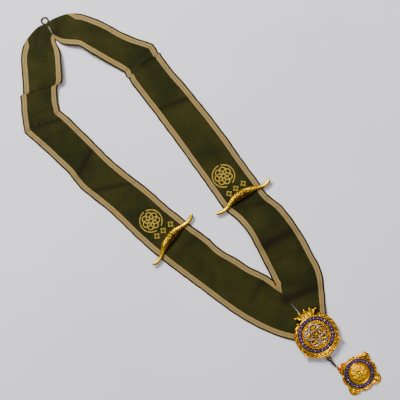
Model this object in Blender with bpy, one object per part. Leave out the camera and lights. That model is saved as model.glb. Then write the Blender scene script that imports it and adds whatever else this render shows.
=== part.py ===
"""Chain of office: a green ribbon collar with two horn bars, a crowned medal and a square drop.

The collar lies flat, as laid out on a table. +Y runs from the drop up to the ring at the nape,
+X is to the right as seen from above and +Z is up. The origin is the middle of the footprint.
"""

import math
from collections import namedtuple

import bmesh
import bpy
import numpy as np
from mathutils import Matrix, Vector

MM = 0.001

# Collar
COLLAR_LENGTH = 415.0 * MM      # medal centre to the ring at the nape
COLLAR_WIDTH = 156.0 * MM       # across the shoulders
RIBBON_WIDTH = 44.5 * MM
RIBBON_THICKNESS = 1.2 * MM
RIBBON_LIFT = 6.0 * MM          # greatest height that the cloth stands off the table
APEX_SLIT = 1.0 * MM            # open slit between the two neck bands
CELLS_ACROSS = 6
CELL_LENGTH = 7.6 * MM

# Clearances
GAP = 0.3 * MM                  # between neighbouring pieces
LAP_GAP = 0.6 * MM              # between the two layers where the ribbon ends cross
HUMP_FLAT = 10.0 * MM           # how far cloth stays raised round what lies under it
HUMP_REACH = 24.0 * MM          # where it is back on the table

# Ring at the nape
NECK_RING_RADIUS = 3.4 * MM
NECK_RING_WIRE = 1.2 * MM
NECK_RING_REACH = 3.2 * MM      # ring centre beyond the end of the seam
NECK_RING_STEPS = 20

# Horn bars
BAR_LENGTH = 65.0 * MM
BAR_WIDTH = 8.6 * MM
BAR_HEIGHT = 4.6 * MM
BAR_BOW = 2.6 * MM
BAR_SIDES = 7

# Pins behind the bars and the medal
PIN_WIRE = 1.0 * MM
BAR_PIN_SPAN = 18.0 * MM
MEDAL_PIN_SPAN = 22.0 * MM
MEDAL_PIN_RISE = 9.0 * MM       # above the medal's centre

# Medal
MEDAL_TURN = -12.8              # degrees that the crown leans from the collar's axis
MEDAL_BASE = 1.2 * MM
MEDAL_RELIEF = 2.2 * MM         # crown, leaves and scroll above the base
GROUND_RADIUS = 13.6 * MM
RIM_WIDTH = 0.9 * MM
MEDAL_RIM = 1.2 * MM            # rims above the base
ENAMEL_WIDTH = 3.2 * MM
ENAMEL_THICKNESS = 0.7 * MM
LEAF_WIDTH = 3.4 * MM
SCROLL_WIDTH = 5.4 * MM
CROWN_WIDTH = 23.4 * MM
CROWN_HEIGHT = 9.2 * MM
CROWN_BACK = 0.3 * MM           # the crown's back above the base's
LEAVES_PER_SIDE = 8
KNOT_RADIUS = 7.6 * MM
KNOT_SWING = 3.7 * MM
KNOT_STRAP = 1.7 * MM
KNOT_THICKNESS = 0.7 * MM
MEDAL_STEPS = 96

# Eyes, link and drop
EYE_RADIUS = 1.9 * MM
EYE_WIRE = 1.1 * MM
LINK_WIRE = 1.1 * MM
LINK_RADIUS = 1.45 * MM
LINK_LENGTH = 7.6 * MM          # between the eyes' outer wires
DROP_TURN = 33.0                # degrees that the drop leans from the collar's axis
DROP_BASE = 1.0 * MM
DROP_RIM = 0.9 * MM
DISC_RADIUS = 10.3 * MM
DISC_THICKNESS = 0.9 * MM
DISC_DOME = 1.3 * MM
DROP_RIM_WIDTH = 0.5 * MM
DROP_ENAMEL_WIDTH = 3.3 * MM
DROP_LOBE = 7.2 * MM            # how far the corner lobes stand out past the enamel
DROP_BOSS = 1.1 * MM
DROP_STEPS = 80
SPOT_RADIUS = 1.3 * MM

# Ribbon sections, from the inner edge to the outer one. x is a share of COLLAR_WIDTH, y of
# COLLAR_LENGTH and across of RIBBON_WIDTH. turn is the direction from the inner edge to the
# outer one in degrees. inner, middle and outer are heights as shares of RIBBON_LIFT.
Section = namedtuple("Section", "x y turn across inner middle outer")

APEX = Section(-0.020, 0.969, 79, 0.424, 0.10, 0.10, 0.05)
SHOULDER_LEFT = Section(-0.439, 0.819, 172, 0.945, 0.20, 0.10, 0.00)
SHOULDER_RIGHT = Section(0.294, 0.783, 4, 0.914, 0.25, 0.10, 0.00)

NECK_LEFT = [
    APEX,
    Section(-0.045, 0.970, 95, 0.499, 0.20, 0.15, 0.05),
    Section(-0.093, 0.964, 120, 0.677, 0.45, 0.20, 0.05),
    Section(-0.135, 0.952, 129, 0.853, 0.65, 0.30, 0.05),
    Section(-0.184, 0.933, 134, 0.930, 0.90, 0.40, 0.05),
    Section(-0.234, 0.908, 139, 0.916, 1.00, 0.45, 0.05),
    Section(-0.279, 0.889, 146, 0.891, 0.85, 0.40, 0.05),
    Section(-0.319, 0.878, 153, 0.869, 0.60, 0.25, 0.00),
    Section(-0.370, 0.859, 157, 0.869, 0.35, 0.15, 0.00),
    SHOULDER_LEFT,
]
NECK_RIGHT = [
    APEX,
    Section(0.022, 0.958, 61, 0.616, 0.25, 0.15, 0.05),
    Section(0.071, 0.945, 56, 0.720, 0.55, 0.25, 0.05),
    Section(0.125, 0.927, 51, 0.758, 0.85, 0.35, 0.05),
    Section(0.159, 0.901, 43, 0.787, 1.00, 0.45, 0.05),
    Section(0.191, 0.873, 37, 0.802, 0.90, 0.40, 0.05),
    Section(0.220, 0.842, 29, 0.783, 0.65, 0.25, 0.00),
    Section(0.250, 0.816, 20, 0.800, 0.40, 0.15, 0.00),
    SHOULDER_RIGHT,
]
STRAND_LEFT = [
    SHOULDER_LEFT,
    Section(-0.421, 0.775, 185, 0.926, 0.30, 0.15, 0.00),
    Section(-0.410, 0.730, 185, 0.915, 0.10, 0.05, 0.05),
    Section(-0.400, 0.687, 182, 0.905, 0.05, 0.15, 0.10),
    Section(-0.398, 0.643, 186, 0.953, 0.10, 0.05, 0.00),
    Section(-0.380, 0.600, 191, 0.940, 0.15, 0.05, 0.00),
    Section(-0.357, 0.555, 190, 0.950, 0.05, 0.10, 0.00),
    Section(-0.340, 0.512, 187, 0.984, 0.00, 0.00, 0.00),
    Section(-0.328, 0.468, 188, 1.000, 0.00, 0.00, 0.00),
    Section(-0.309, 0.423, 189, 1.020, 0.00, 0.05, 0.00),
    Section(-0.289, 0.380, 192, 1.021, 0.00, 0.05, 0.00),
    Section(-0.264, 0.337, 191, 1.033, 0.00, 0.00, 0.00),
    Section(-0.244, 0.294, 193, 0.994, 0.10, 0.05, 0.00),
    Section(-0.212, 0.251, 195, 1.041, 0.05, 0.05, 0.00),
    Section(-0.183, 0.208, 198, 1.072, 0.00, 0.00, 0.00),
    Section(-0.145, 0.167, 201, 1.128, 0.00, 0.00, 0.00),
    Section(-0.110, 0.126, 208, 1.100, 0.00, 0.00, 0.00),
    Section(-0.074, 0.090, 213, 1.040, 0.00, 0.00, 0.00),
    Section(-0.026, 0.040, 221, 0.780, 0.00, 0.00, 0.00),
    Section(0.019, -0.011, 239, 0.443, 0.00, 0.00, 0.00),
]
STRAND_RIGHT = [
    SHOULDER_RIGHT,
    Section(0.284, 0.742, -3, 0.921, 0.35, 0.15, 0.00),
    Section(0.278, 0.700, -2, 0.930, 0.10, 0.05, 0.00),
    Section(0.276, 0.659, -2, 0.952, 0.00, 0.05, 0.05),
    Section(0.270, 0.618, -3, 0.968, 0.05, 0.10, 0.10),
    Section(0.265, 0.577, -3, 0.983, 0.05, 0.05, 0.00),
    Section(0.257, 0.535, -5, 0.994, 0.00, 0.00, 0.00),
    Section(0.248, 0.494, -5, 1.002, 0.00, 0.00, 0.00),
    Section(0.238, 0.454, -6, 0.991, 0.00, 0.00, 0.00),
    Section(0.227, 0.411, -4, 0.998, 0.05, 0.00, 0.00),
    Section(0.219, 0.371, 0, 0.995, 0.10, 0.05, 0.00),
    Section(0.223, 0.332, 2, 0.900, 0.60, 0.20, 0.00),
    Section(0.232, 0.292, -1, 0.980, 0.90, 0.30, 0.00),
    Section(0.220, 0.250, -7, 1.045, 0.70, 0.25, 0.00),
    Section(0.201, 0.210, -13, 1.080, 0.35, 0.10, 0.00),
    Section(0.176, 0.170, -18, 1.093, 0.15, 0.05, 0.00),
    Section(0.150, 0.131, -26, 1.100, 0.05, 0.00, 0.00),
    Section(0.111, 0.094, -38, 0.951, 0.00, 0.00, 0.00),
    Section(0.071, 0.050, -47, 0.688, 0.00, 0.00, 0.00),
    Section(0.031, 0.006, -61, 0.396, 0.00, 0.00, 0.00),
    Section(0.008, -0.027, -79, 0.137, 0.00, 0.00, 0.00),
]

# Where the bars sit: a share of COLLAR_LENGTH up the axis, and the lean from square in degrees.
BarSeat = namedtuple("BarSeat", "y lean")
BAR_SEATS = {"left": BarSeat(0.401, 1.0), "right": BarSeat(0.368, -9.0)}

# A horn bar's sections: along is a share of BAR_LENGTH, bow of BAR_BOW, width of BAR_WIDTH,
# height and rise of BAR_HEIGHT.
BarSection = namedtuple("BarSection", "along bow width height rise")
BAR_SECTIONS = [
    BarSection(-0.500, 0.15, 0.10, 0.14, 0.34),
    BarSection(-0.470, -0.20, 0.22, 0.34, 0.22),
    BarSection(-0.420, -0.55, 0.30, 0.48, 0.12),
    BarSection(-0.350, -0.65, 0.36, 0.56, 0.04),
    BarSection(-0.280, -0.20, 0.42, 0.62, 0.00),
    BarSection(-0.220, 0.40, 0.54, 0.70, 0.00),
    BarSection(-0.160, 0.80, 0.80, 0.88, 0.00),
    BarSection(-0.080, 1.00, 0.97, 0.98, 0.00),
    BarSection(0.000, 1.05, 1.00, 1.00, 0.00),
    BarSection(0.080, 1.00, 0.95, 0.98, 0.00),
    BarSection(0.150, 0.85, 0.80, 0.88, 0.00),
    BarSection(0.210, 0.55, 0.56, 0.72, 0.00),
    BarSection(0.280, 0.00, 0.44, 0.62, 0.00),
    BarSection(0.350, -0.55, 0.38, 0.56, 0.04),
    BarSection(0.420, -0.50, 0.32, 0.48, 0.12),
    BarSection(0.470, -0.15, 0.24, 0.34, 0.22),
    BarSection(0.500, 0.20, 0.10, 0.14, 0.34),
]

# The crown's outline about its middle: across is a share of CROWN_WIDTH, up of CROWN_HEIGHT.
CrownPoint = namedtuple("CrownPoint", "across up")
CROWN_OUTLINE = [
    CrownPoint(0.33, -0.50), CrownPoint(0.36, -0.30), CrownPoint(0.38, -0.08),
    CrownPoint(0.50, 0.06), CrownPoint(0.42, 0.13), CrownPoint(0.31, 0.14),
    CrownPoint(0.25, 0.36), CrownPoint(0.17, 0.28), CrownPoint(0.08, 0.34),
    CrownPoint(0.00, 0.50), CrownPoint(-0.08, 0.34), CrownPoint(-0.17, 0.28),
    CrownPoint(-0.25, 0.36), CrownPoint(-0.31, 0.14), CrownPoint(-0.42, 0.13),
    CrownPoint(-0.50, 0.06), CrownPoint(-0.38, -0.08), CrownPoint(-0.36, -0.30),
    CrownPoint(-0.33, -0.50), CrownPoint(0.00, -0.42),
]

# The drop's outline in one eighth turn from a corner: turn in degrees, out is a share of DROP_LOBE.
LobePoint = namedtuple("LobePoint", "turn out")
DROP_EDGE = [
    LobePoint(0, 1.00), LobePoint(6, 0.94), LobePoint(12, 0.74), LobePoint(19, 0.42),
    LobePoint(26, 0.20), LobePoint(32, 0.30), LobePoint(38, 0.42), LobePoint(45, 0.36),
]

# Red spots round the drop's eye: turn in degrees from the drop's axis, out in DISC_RADIUS shares.
SpotPlace = namedtuple("SpotPlace", "turn out")
SPOTS = [SpotPlace(9, 1.96), SpotPlace(-1, 1.86), SpotPlace(-11, 1.93)]

ENAMEL_SEAT = ENAMEL_WIDTH + 2 * GAP
MEDAL_INNER = GROUND_RADIUS + RIM_WIDTH + ENAMEL_SEAT + RIM_WIDTH
LAYER = RIBBON_THICKNESS + LAP_GAP


def clear_scene():
    """Remove every object that the file opened with."""
    for thing in list(bpy.data.objects):
        bpy.data.objects.remove(thing, do_unlink=True)


def material(name, colour, roughness, metallic):
    """A plain Principled material."""
    made = bpy.data.materials.new(name)
    made.use_nodes = True
    shader = made.node_tree.nodes["Principled BSDF"]
    shader.inputs["Base Color"].default_value = (*colour, 1.0)
    shader.inputs["Roughness"].default_value = roughness
    shader.inputs["Metallic"].default_value = metallic
    return made


def add_object(name, points, faces, finish):
    """A named mesh object from points and faces, faces turned outwards."""
    mesh = bpy.data.meshes.new(name)
    body = bmesh.new()
    corners = [body.verts.new(Vector(point)) for point in points]
    for face in faces:
        body.faces.new([corners[index] for index in face])
    bmesh.ops.recalc_face_normals(body, faces=body.faces)
    bmesh.ops.triangulate(body, faces=body.faces)
    body.to_mesh(mesh)
    body.free()
    thing = bpy.data.objects.new(name, mesh)
    bpy.context.scene.collection.objects.link(thing)
    if finish is not None:
        mesh.materials.append(finish)
    mesh.shade_smooth()
    mesh.set_sharp_from_angle(angle=math.radians(40))
    return thing


def boolean(thing, other, operation):
    """Join or cut with another object, which stays out of the model."""
    other.hide_render = True
    other.display_type = "WIRE"
    step = thing.modifiers.new(other.name, "BOOLEAN")
    step.operation = operation
    step.solver = "EXACT"
    step.object = other


def smooth_fall(distance, flat, reach):
    """1 up to flat, 0 from reach on, and an even slope between."""
    share = np.clip((reach - distance) / (reach - flat), 0.0, 1.0)
    return share * share * (3 - 2 * share)


def smooth_rows(rows, count):
    """A smooth curve through table rows, read at evenly spaced places along it."""
    table = np.array(rows, dtype=float)
    places = table[:, :2] * (COLLAR_WIDTH, COLLAR_LENGTH)
    spans = np.hypot(*np.diff(places, axis=0).T)
    knots = np.concatenate(([0.0], np.cumsum(spans)))
    slopes = np.gradient(table, knots, axis=0)
    read = []
    for along in np.linspace(0.0, knots[-1], count):
        index = min(np.searchsorted(knots, along, side="right") - 1, len(knots) - 2)
        span = knots[index + 1] - knots[index]
        s = (along - knots[index]) / span
        start = (1 + 2 * s) * (1 - s) ** 2 * table[index] + s * (1 - s) ** 2 * span * slopes[index]
        finish = s * s * (3 - 2 * s) * table[index + 1]
        finish = finish + s * s * (s - 1) * span * slopes[index + 1]
        read.append(Section(*(start + finish)))
    return read


def section_line(row):
    """The middle of a section and the vector from its inner edge to its outer one."""
    centre = np.array((row.x * COLLAR_WIDTH, row.y * COLLAR_LENGTH))
    turn = math.radians(row.turn)
    across = row.across * RIBBON_WIDTH * np.array((math.cos(turn), math.sin(turn)))
    return centre, across


def segment_distance(point, start, end):
    """How far a point lies from a straight run, as seen from above."""
    run = end - start
    share = np.clip(np.dot(point - start, run) / np.dot(run, run), 0.0, 1.0)
    return float(np.hypot(*(point - start - share * run)))


def outline_distance(point, outline):
    """How far a point lies outside a closed outline, or 0 inside it."""
    inside = False
    nearest = math.inf
    for start, end in zip(outline, np.roll(outline, -1, axis=0)):
        nearest = min(nearest, segment_distance(point, start, end))
        if (start[1] > point[1]) != (end[1] > point[1]):
            crossing = start[0] + (point[1] - start[1]) * (end[0] - start[0]) / (end[1] - start[1])
            inside = inside != (point[0] < crossing)
    return 0.0 if inside else nearest


def wire_hump(point, wires):
    """Height that the wires under the cloth give it at a point."""
    height = 0.0
    for start, end, thickness in wires:
        fall = smooth_fall(segment_distance(point, start, end), HUMP_FLAT, HUMP_REACH)
        height = max(height, (thickness + GAP) * fall)
    return height


def ribbon_grid(rows, trims, wires, under=None):
    """Underside points of one run of ribbon, row by row from the inner edge to the outer one."""
    places = np.array([section_line(row)[0] for row in rows])
    length = np.hypot(*np.diff(places, axis=0).T).sum()
    count = round(length / CELL_LENGTH) + 1
    sections = smooth_rows(rows, count)
    lines = [section_line(row) for row in sections]
    grid = []
    for index, (row, (centre, across)) in enumerate(zip(sections, lines)):
        before = lines[max(index - 1, 0)][0]
        after = lines[min(index + 1, count - 1)][0]
        forward = after - before
        square = np.array((-across[1], across[0])) / np.hypot(*across)
        square = square * np.sign(np.dot(square, forward))
        shift = trims[0] if index == 0 else (-trims[1] if index == count - 1 else 0.0)
        line = []
        for cell in range(CELLS_ACROSS + 1):
            u = 2 * cell / CELLS_ACROSS - 1
            place = centre + 0.5 * u * across + square * shift
            bend = (row.inner + row.outer) / 2 - row.middle
            lift = row.middle + (row.outer - row.inner) / 2 * u + bend * u * u
            height = max(RIBBON_LIFT * lift, wire_hump(place, wires), 0.0)
            if under is not None:
                height += LAYER * smooth_fall(outline_distance(place, under), HUMP_FLAT, HUMP_REACH)
            line.append((place[0], place[1], height))
        grid.append(line)
    return np.array(grid)


def grid_outline(grid):
    """The closed outline of a run of ribbon, as seen from above."""
    flat = grid[:, :, :2]
    return np.concatenate((flat[:, 0], flat[-1, 1:], flat[-2::-1, -1], flat[0, -2:0:-1]))


def ribbon_object(name, grid, finish):
    """A run of ribbon with its full thickness."""
    rows, columns = grid.shape[:2]
    under = grid.reshape(-1, 3)
    over = under + (0.0, 0.0, RIBBON_THICKNESS)
    layer = rows * columns
    faces = []
    for row in range(rows - 1):
        for column in range(columns - 1):
            corner = row * columns + column
            quad = (corner, corner + 1, corner + columns + 1, corner + columns)
            faces.append(quad)
            faces.append(tuple(layer + index for index in reversed(quad)))
    edge = [row * columns for row in range(rows)]
    edge += [(rows - 1) * columns + column for column in range(1, columns)]
    edge += [row * columns + columns - 1 for row in range(rows - 2, -1, -1)]
    edge += [column for column in range(columns - 2, 0, -1)]
    for start, end in zip(edge, edge[1:] + edge[:1]):
        faces.append((start, end, layer + end, layer + start))
    return add_object(name, np.concatenate((under, over)), faces, finish)


def highest_top(grids, start, end, reach):
    """The highest cloth within reach of a straight run."""
    heights = [0.0]
    for grid in grids:
        for place in grid.reshape(-1, 3):
            if segment_distance(place[:2], start, end) < reach:
                heights.append(place[2] + RIBBON_THICKNESS)
    return max(heights)


def seat_on_strand(rows, seat):
    """Where a bar crosses a strand, and the direction that it points in, in radians."""
    fine = smooth_rows(rows, 200)
    row = min(fine, key=lambda each: abs(each.y - seat.y))
    centre, across = section_line(row)
    toward_right = across if across[0] > 0 else -across
    return centre, math.atan2(toward_right[1], toward_right[0]) + math.radians(seat.lean)


def pin_ends(centre, angle, span):
    """The two legs of a pin, as seen from above."""
    half = 0.5 * span * np.array((math.cos(angle), math.sin(angle)))
    return centre - half, centre + half


def tube(name, path, wire, sides, closed, finish, flat=1.0, up=None):
    """A wire along a path of points, round or, with flat below 1, pressed towards up."""
    points = [Vector(point) for point in path]
    count = len(points)
    corners = []
    for index, point in enumerate(points):
        before = points[index - 1] if closed or index > 0 else point
        after = points[(index + 1) % count] if closed or index < count - 1 else point
        forward = (after - before).normalized()
        side = up.cross(forward).normalized()
        top = forward.cross(side)
        for step in range(sides):
            turn = 2 * math.pi * (step + 0.5) / sides
            reach = side * math.cos(turn) + top * flat * math.sin(turn)
            corners.append(point + reach * wire / 2)
    faces = []
    for index in range(count if closed else count - 1):
        first = index * sides
        second = (index + 1) % count * sides
        for step in range(sides):
            following = (step + 1) % sides
            faces.append((first + step, first + following, second + following, second + step))
    if not closed:
        faces.append(tuple(range(sides)))
        faces.append(tuple((count - 1) * sides + step for step in range(sides)))
    return add_object(name, corners, faces, finish)


def turned(name, profile, steps, centre, base, turn, finish, ring=False):
    """A body turned about +Z at centre, from rings of radius and height from top to back.

    A radius or height may be a function of the angle from the piece's own axis. A ring is closed
    on itself, and any other body is capped by a middle point at each end.
    """
    corners = []
    for radius, height in profile:
        for step in range(steps):
            angle = 2 * math.pi * step / steps
            r = radius(angle) if callable(radius) else radius
            z = height(angle) if callable(height) else height
            world = angle + turn
            corners.append((centre[0] + r * math.cos(world), centre[1] + r * math.sin(world), base + z))
    faces = []
    levels = len(profile)
    for level in range(levels if ring else levels - 1):
        first = level * steps
        second = (level + 1) % levels * steps
        for step in range(steps):
            following = (step + 1) % steps
            faces.append((first + step, first + following, second + following, second + step))
    if not ring:
        for level in (0, levels - 1):
            height = profile[level][1]
            middle = len(corners)
            corners.append((centre[0], centre[1], base + (height(0.0) if callable(height) else height)))
            for step in range(steps):
                faces.append((middle, level * steps + step, level * steps + (step + 1) % steps))
    return add_object(name, corners, faces, finish)


def circle(centre, radius, height, steps):
    """Points round a level circle."""
    path = []
    for step in range(steps):
        turn = 2 * math.pi * step / steps
        path.append((centre[0] + radius * math.cos(turn), centre[1] + radius * math.sin(turn), height))
    return path


def eye(name, centre, height):
    """A small ring lying flat, which is joined to a medal or drop."""
    path = circle(centre, EYE_RADIUS, height, 12)
    return tube(name, path, EYE_WIRE, 6, True, None, up=Vector((0, 0, 1)))


def pin(name, legs, top, finish):
    """A plain staple: a wire under the cloth with two legs that go up through it."""
    low = PIN_WIRE / 2
    path = [(*legs[0], top), (*legs[0], low), (*legs[1], low), (*legs[1], top)]
    run = legs[1] - legs[0]
    sideways = Vector((-run[1], run[0], 0.0)).normalized()
    return tube(name, path, PIN_WIRE, 6, False, finish, up=sideways)


def pin_hole(name, place, depth):
    """A cutter for the hole that a pin's leg passes through."""
    path = [(*place, -depth), (*place, depth)]
    return tube(name, path, PIN_WIRE + 2 * GAP, 8, False, None, up=Vector((0, 1, 0)))


def horn_bar(name, centre, angle, base, finish):
    """A cast bar of two horns with a swelling middle, flat below and domed above."""
    forward = np.array((math.cos(angle), math.sin(angle)))
    sideways = np.array((-forward[1], forward[0]))
    corners = []
    for row in BAR_SECTIONS:
        middle = centre + row.along * BAR_LENGTH * forward + row.bow * BAR_BOW * sideways
        for side in range(BAR_SIDES):
            turn = math.pi * side / (BAR_SIDES - 1)
            place = middle + 0.5 * row.width * BAR_WIDTH * math.cos(turn) * sideways
            rise = row.rise * BAR_HEIGHT + row.height * BAR_HEIGHT * math.sin(turn)
            corners.append((place[0], place[1], base + rise))
    faces = []
    for row in range(len(BAR_SECTIONS) - 1):
        for side in range(BAR_SIDES):
            following = (side + 1) % BAR_SIDES
            first = row * BAR_SIDES
            second = first + BAR_SIDES
            faces.append((first + side, first + following, second + following, second + side))
    last = (len(BAR_SECTIONS) - 1) * BAR_SIDES
    faces.append(tuple(range(BAR_SIDES)))
    faces.append(tuple(last + side for side in range(BAR_SIDES)))
    return add_object(name, corners, faces, finish)


def from_crown(angle):
    """Degrees between an angle on the medal and its crown, 0 to 180."""
    degrees = math.degrees(angle) % 360
    return min(degrees, 360 - degrees)


CROWN_SPREAD = 30.0             # half the turn that the crown takes, in degrees
SCROLL_START = 122.0            # where the scroll starts, in degrees from the crown


def medal_edge(angle):
    """The medal's outer radius: plain under the crown, scalloped leaves, then the scroll."""
    degrees = from_crown(angle)
    if degrees < CROWN_SPREAD:
        return MEDAL_INNER + 0.12 * LEAF_WIDTH
    if degrees < SCROLL_START:
        share = (degrees - CROWN_SPREAD) / (SCROLL_START - CROWN_SPREAD)
        scallop = abs(math.sin(math.pi * share * LEAVES_PER_SIDE))
        return MEDAL_INNER + LEAF_WIDTH * (0.78 + 0.22 * scallop)
    share = (degrees - SCROLL_START) / (180 - SCROLL_START)
    curl = max(0.0, 1 - share / 0.12)
    point = max(0.0, (share - 0.78) / 0.22)
    return MEDAL_INNER + SCROLL_WIDTH * (0.80 + 0.30 * curl + 0.36 * point * point)


def medal_height(angle):
    """Height of the leaves and the scroll above the base."""
    degrees = from_crown(angle)
    if degrees < CROWN_SPREAD:
        return 0.3 * MEDAL_RELIEF
    if degrees < SCROLL_START:
        share = (degrees - CROWN_SPREAD) / (SCROLL_START - CROWN_SPREAD)
        return MEDAL_RELIEF * (0.55 + 0.25 * abs(math.sin(math.pi * share * LEAVES_PER_SIDE)))
    share = (degrees - SCROLL_START) / (180 - SCROLL_START)
    return MEDAL_RELIEF * (0.80 + 0.20 * math.cos(2 * math.pi * share))


def medal_frame(centre, base, turn, eye_centre, finish):
    """Base, rims, leaves, scroll, crown and eye, cast and soldered in one."""
    channel = GROUND_RADIUS + RIM_WIDTH
    channel_end = channel + ENAMEL_SEAT
    rim = MEDAL_BASE + MEDAL_RIM

    def shoulder(angle):
        return MEDAL_INNER + 0.45 * (medal_edge(angle) - MEDAL_INNER)

    def crest(angle):
        return MEDAL_BASE + medal_height(angle)

    def edge_height(angle):
        return MEDAL_BASE + 0.35 * medal_height(angle)

    profile = [
        (GROUND_RADIUS, MEDAL_BASE), (GROUND_RADIUS, rim), (channel, rim), (channel, MEDAL_BASE),
        (channel_end, MEDAL_BASE), (channel_end, rim), (MEDAL_INNER, rim),
        (MEDAL_INNER, MEDAL_BASE + 0.35 * MEDAL_RELIEF), (shoulder, crest), (medal_edge, edge_height),
        (medal_edge, 0.0),
    ]
    frame = turned("medal_frame", profile, MEDAL_STEPS, centre, base, turn, finish)
    boolean(frame, crown(centre, base, turn), "UNION")
    boolean(frame, eye("medal_eye", eye_centre, base + MEDAL_BASE), "UNION")
    return frame


def crown(centre, base, turn):
    """The crown above the medal, a stepped plate with five points."""
    axis = np.array((math.cos(turn), math.sin(turn)))
    side = np.array((axis[1], -axis[0]))
    middle = centre + (MEDAL_INNER - 0.6 * RIM_WIDTH + CROWN_HEIGHT / 2) * axis
    levels = [(1.0, 0.0), (1.0, 0.5), (0.86, 0.85), (0.55, 1.0)]
    corners = []
    for shrink, rise in levels:
        for point in CROWN_OUTLINE:
            across = shrink * point.across * CROWN_WIDTH * side
            up = shrink * point.up * CROWN_HEIGHT * axis
            height = base + CROWN_BACK + rise * (MEDAL_BASE + MEDAL_RELIEF)
            place = middle + across + up
            corners.append((place[0], place[1], height))
    count = len(CROWN_OUTLINE)
    faces = [tuple(range(count)), tuple((len(levels) - 1) * count + step for step in range(count))]
    for level in range(len(levels) - 1):
        for step in range(count):
            following = (step + 1) % count
            first = level * count
            second = first + count
            faces.append((first + step, first + following, second + following, second + step))
    return add_object("medal_crown", corners, faces, None)


def enamel_ring(name, inner, width, base, centre, steps, finish):
    """A flat ring of enamel with softened top edges."""
    soft = 0.25 * ENAMEL_THICKNESS
    profile = [
        (inner, 0.0), (inner, ENAMEL_THICKNESS - soft), (inner + soft, ENAMEL_THICKNESS),
        (inner + width - soft, ENAMEL_THICKNESS), (inner + width, ENAMEL_THICKNESS - soft),
        (inner + width, 0.0),
    ]
    return turned(name, profile, steps, centre, base, 0.0, finish, ring=True)


def medal_knot(centre, base, turn, finish):
    """A five-lobed strap that crosses over and under itself."""
    swing_up = (KNOT_THICKNESS + GAP) / 2 + 0.1 * KNOT_THICKNESS
    count = 76
    path = []
    for step in range(count):
        t = 4 * math.pi * step / count
        radius = KNOT_RADIUS + KNOT_SWING * math.cos(2.5 * t)
        height = base + KNOT_THICKNESS / 2 + swing_up * (1 + math.sin(2.5 * t))
        path.append((centre[0] + radius * math.cos(t + turn), centre[1] + radius * math.sin(t + turn), height))
    flat = KNOT_THICKNESS / KNOT_STRAP
    return tube("medal_knot", path, KNOT_STRAP, 6, True, finish, flat=flat, up=Vector((0, 0, 1)))


def link(first, second, finish):
    """A long wire loop standing on edge that joins the medal's eye to the drop's."""
    start = Vector(first)
    end = Vector(second)
    along = (end - start).normalized()
    sideways = along.cross(Vector((0, 0, 1))).normalized()
    up = sideways.cross(along)
    path = []
    arc = 8
    for middle, offset in ((start, math.pi / 2), (end, -math.pi / 2)):
        for step in range(arc + 1):
            turn = offset + math.pi * step / arc
            path.append(middle + LINK_RADIUS * (math.cos(turn) * along + math.sin(turn) * up))
    return tube("link", path, LINK_WIRE, 6, True, finish, up=sideways)


def drop_edge(angle):
    """How far the drop's lobed edge lies out past the enamel, at an angle from a corner."""
    degrees = math.degrees(angle) % 90
    degrees = min(degrees, 90 - degrees)
    turns = [point.turn for point in DROP_EDGE]
    outs = [point.out for point in DROP_EDGE]
    return DROP_LOBE * float(np.interp(degrees, turns, outs))


def drop_frame(centre, turn, eye_centre, eye_height, finish):
    """The drop's square base with its rims, corner bosses and eye."""
    seat = DISC_RADIUS + GAP
    channel = seat + DROP_RIM_WIDTH
    channel_end = channel + DROP_ENAMEL_WIDTH + 2 * GAP
    outer = channel_end + DROP_RIM_WIDTH
    rim = DROP_BASE + DROP_RIM

    def edge(angle):
        return outer + drop_edge(angle)

    def shoulder(angle):
        return outer + 0.55 * drop_edge(angle)

    def corner_share(angle):
        degrees = math.degrees(angle) % 90
        return max(0.0, 1 - min(degrees, 90 - degrees) / 14)

    def crest(angle):
        return rim + DROP_BOSS * (0.25 + 0.75 * corner_share(angle))

    def edge_height(angle):
        return DROP_BASE + DROP_RIM * (0.35 + 0.75 * corner_share(angle))

    profile = [
        (seat, DROP_BASE), (seat, rim), (channel, rim), (channel, DROP_BASE), (channel_end, DROP_BASE),
        (channel_end, rim), (outer, rim), (shoulder, crest), (edge, edge_height), (edge, 0.0),
    ]
    frame = turned("drop_frame", profile, DROP_STEPS, centre, 0.0, turn, finish)
    boolean(frame, eye("drop_eye", eye_centre, eye_height), "UNION")
    return frame


def drop_disc(centre, turn, finish):
    """The drop's domed middle with a raised rosette of eight petals."""
    def petals(angle):
        return 0.28 * DISC_DOME * (1 + math.cos(8 * angle))

    def outer_petals(angle):
        return DISC_THICKNESS + 0.35 * DISC_DOME + petals(angle)

    def inner_petals(angle):
        return DISC_THICKNESS + 0.62 * DISC_DOME + petals(angle)

    profile = [
        (0.16 * DISC_RADIUS, DISC_THICKNESS + DISC_DOME), (0.24 * DISC_RADIUS, DISC_THICKNESS + 0.6 * DISC_DOME),
        (0.42 * DISC_RADIUS, inner_petals), (0.66 * DISC_RADIUS, outer_petals),
        (0.84 * DISC_RADIUS, DISC_THICKNESS + 0.1 * DISC_DOME), (0.90 * DISC_RADIUS, DISC_THICKNESS + 0.3 * DISC_DOME),
        (DISC_RADIUS, DISC_THICKNESS), (DISC_RADIUS, 0.0),
    ]
    return turned("drop_disc", profile, 32, centre, DROP_BASE + GAP, turn, finish)


def spot(name, centre, base, finish):
    """A small domed drop of red enamel."""
    profile = [
        (0.45 * SPOT_RADIUS, 0.75 * SPOT_RADIUS), (0.80 * SPOT_RADIUS, 0.50 * SPOT_RADIUS),
        (SPOT_RADIUS, 0.15 * SPOT_RADIUS), (0.9 * SPOT_RADIUS, 0.0),
    ]
    return turned(name, profile, 10, centre, base, 0.0, finish)


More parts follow.
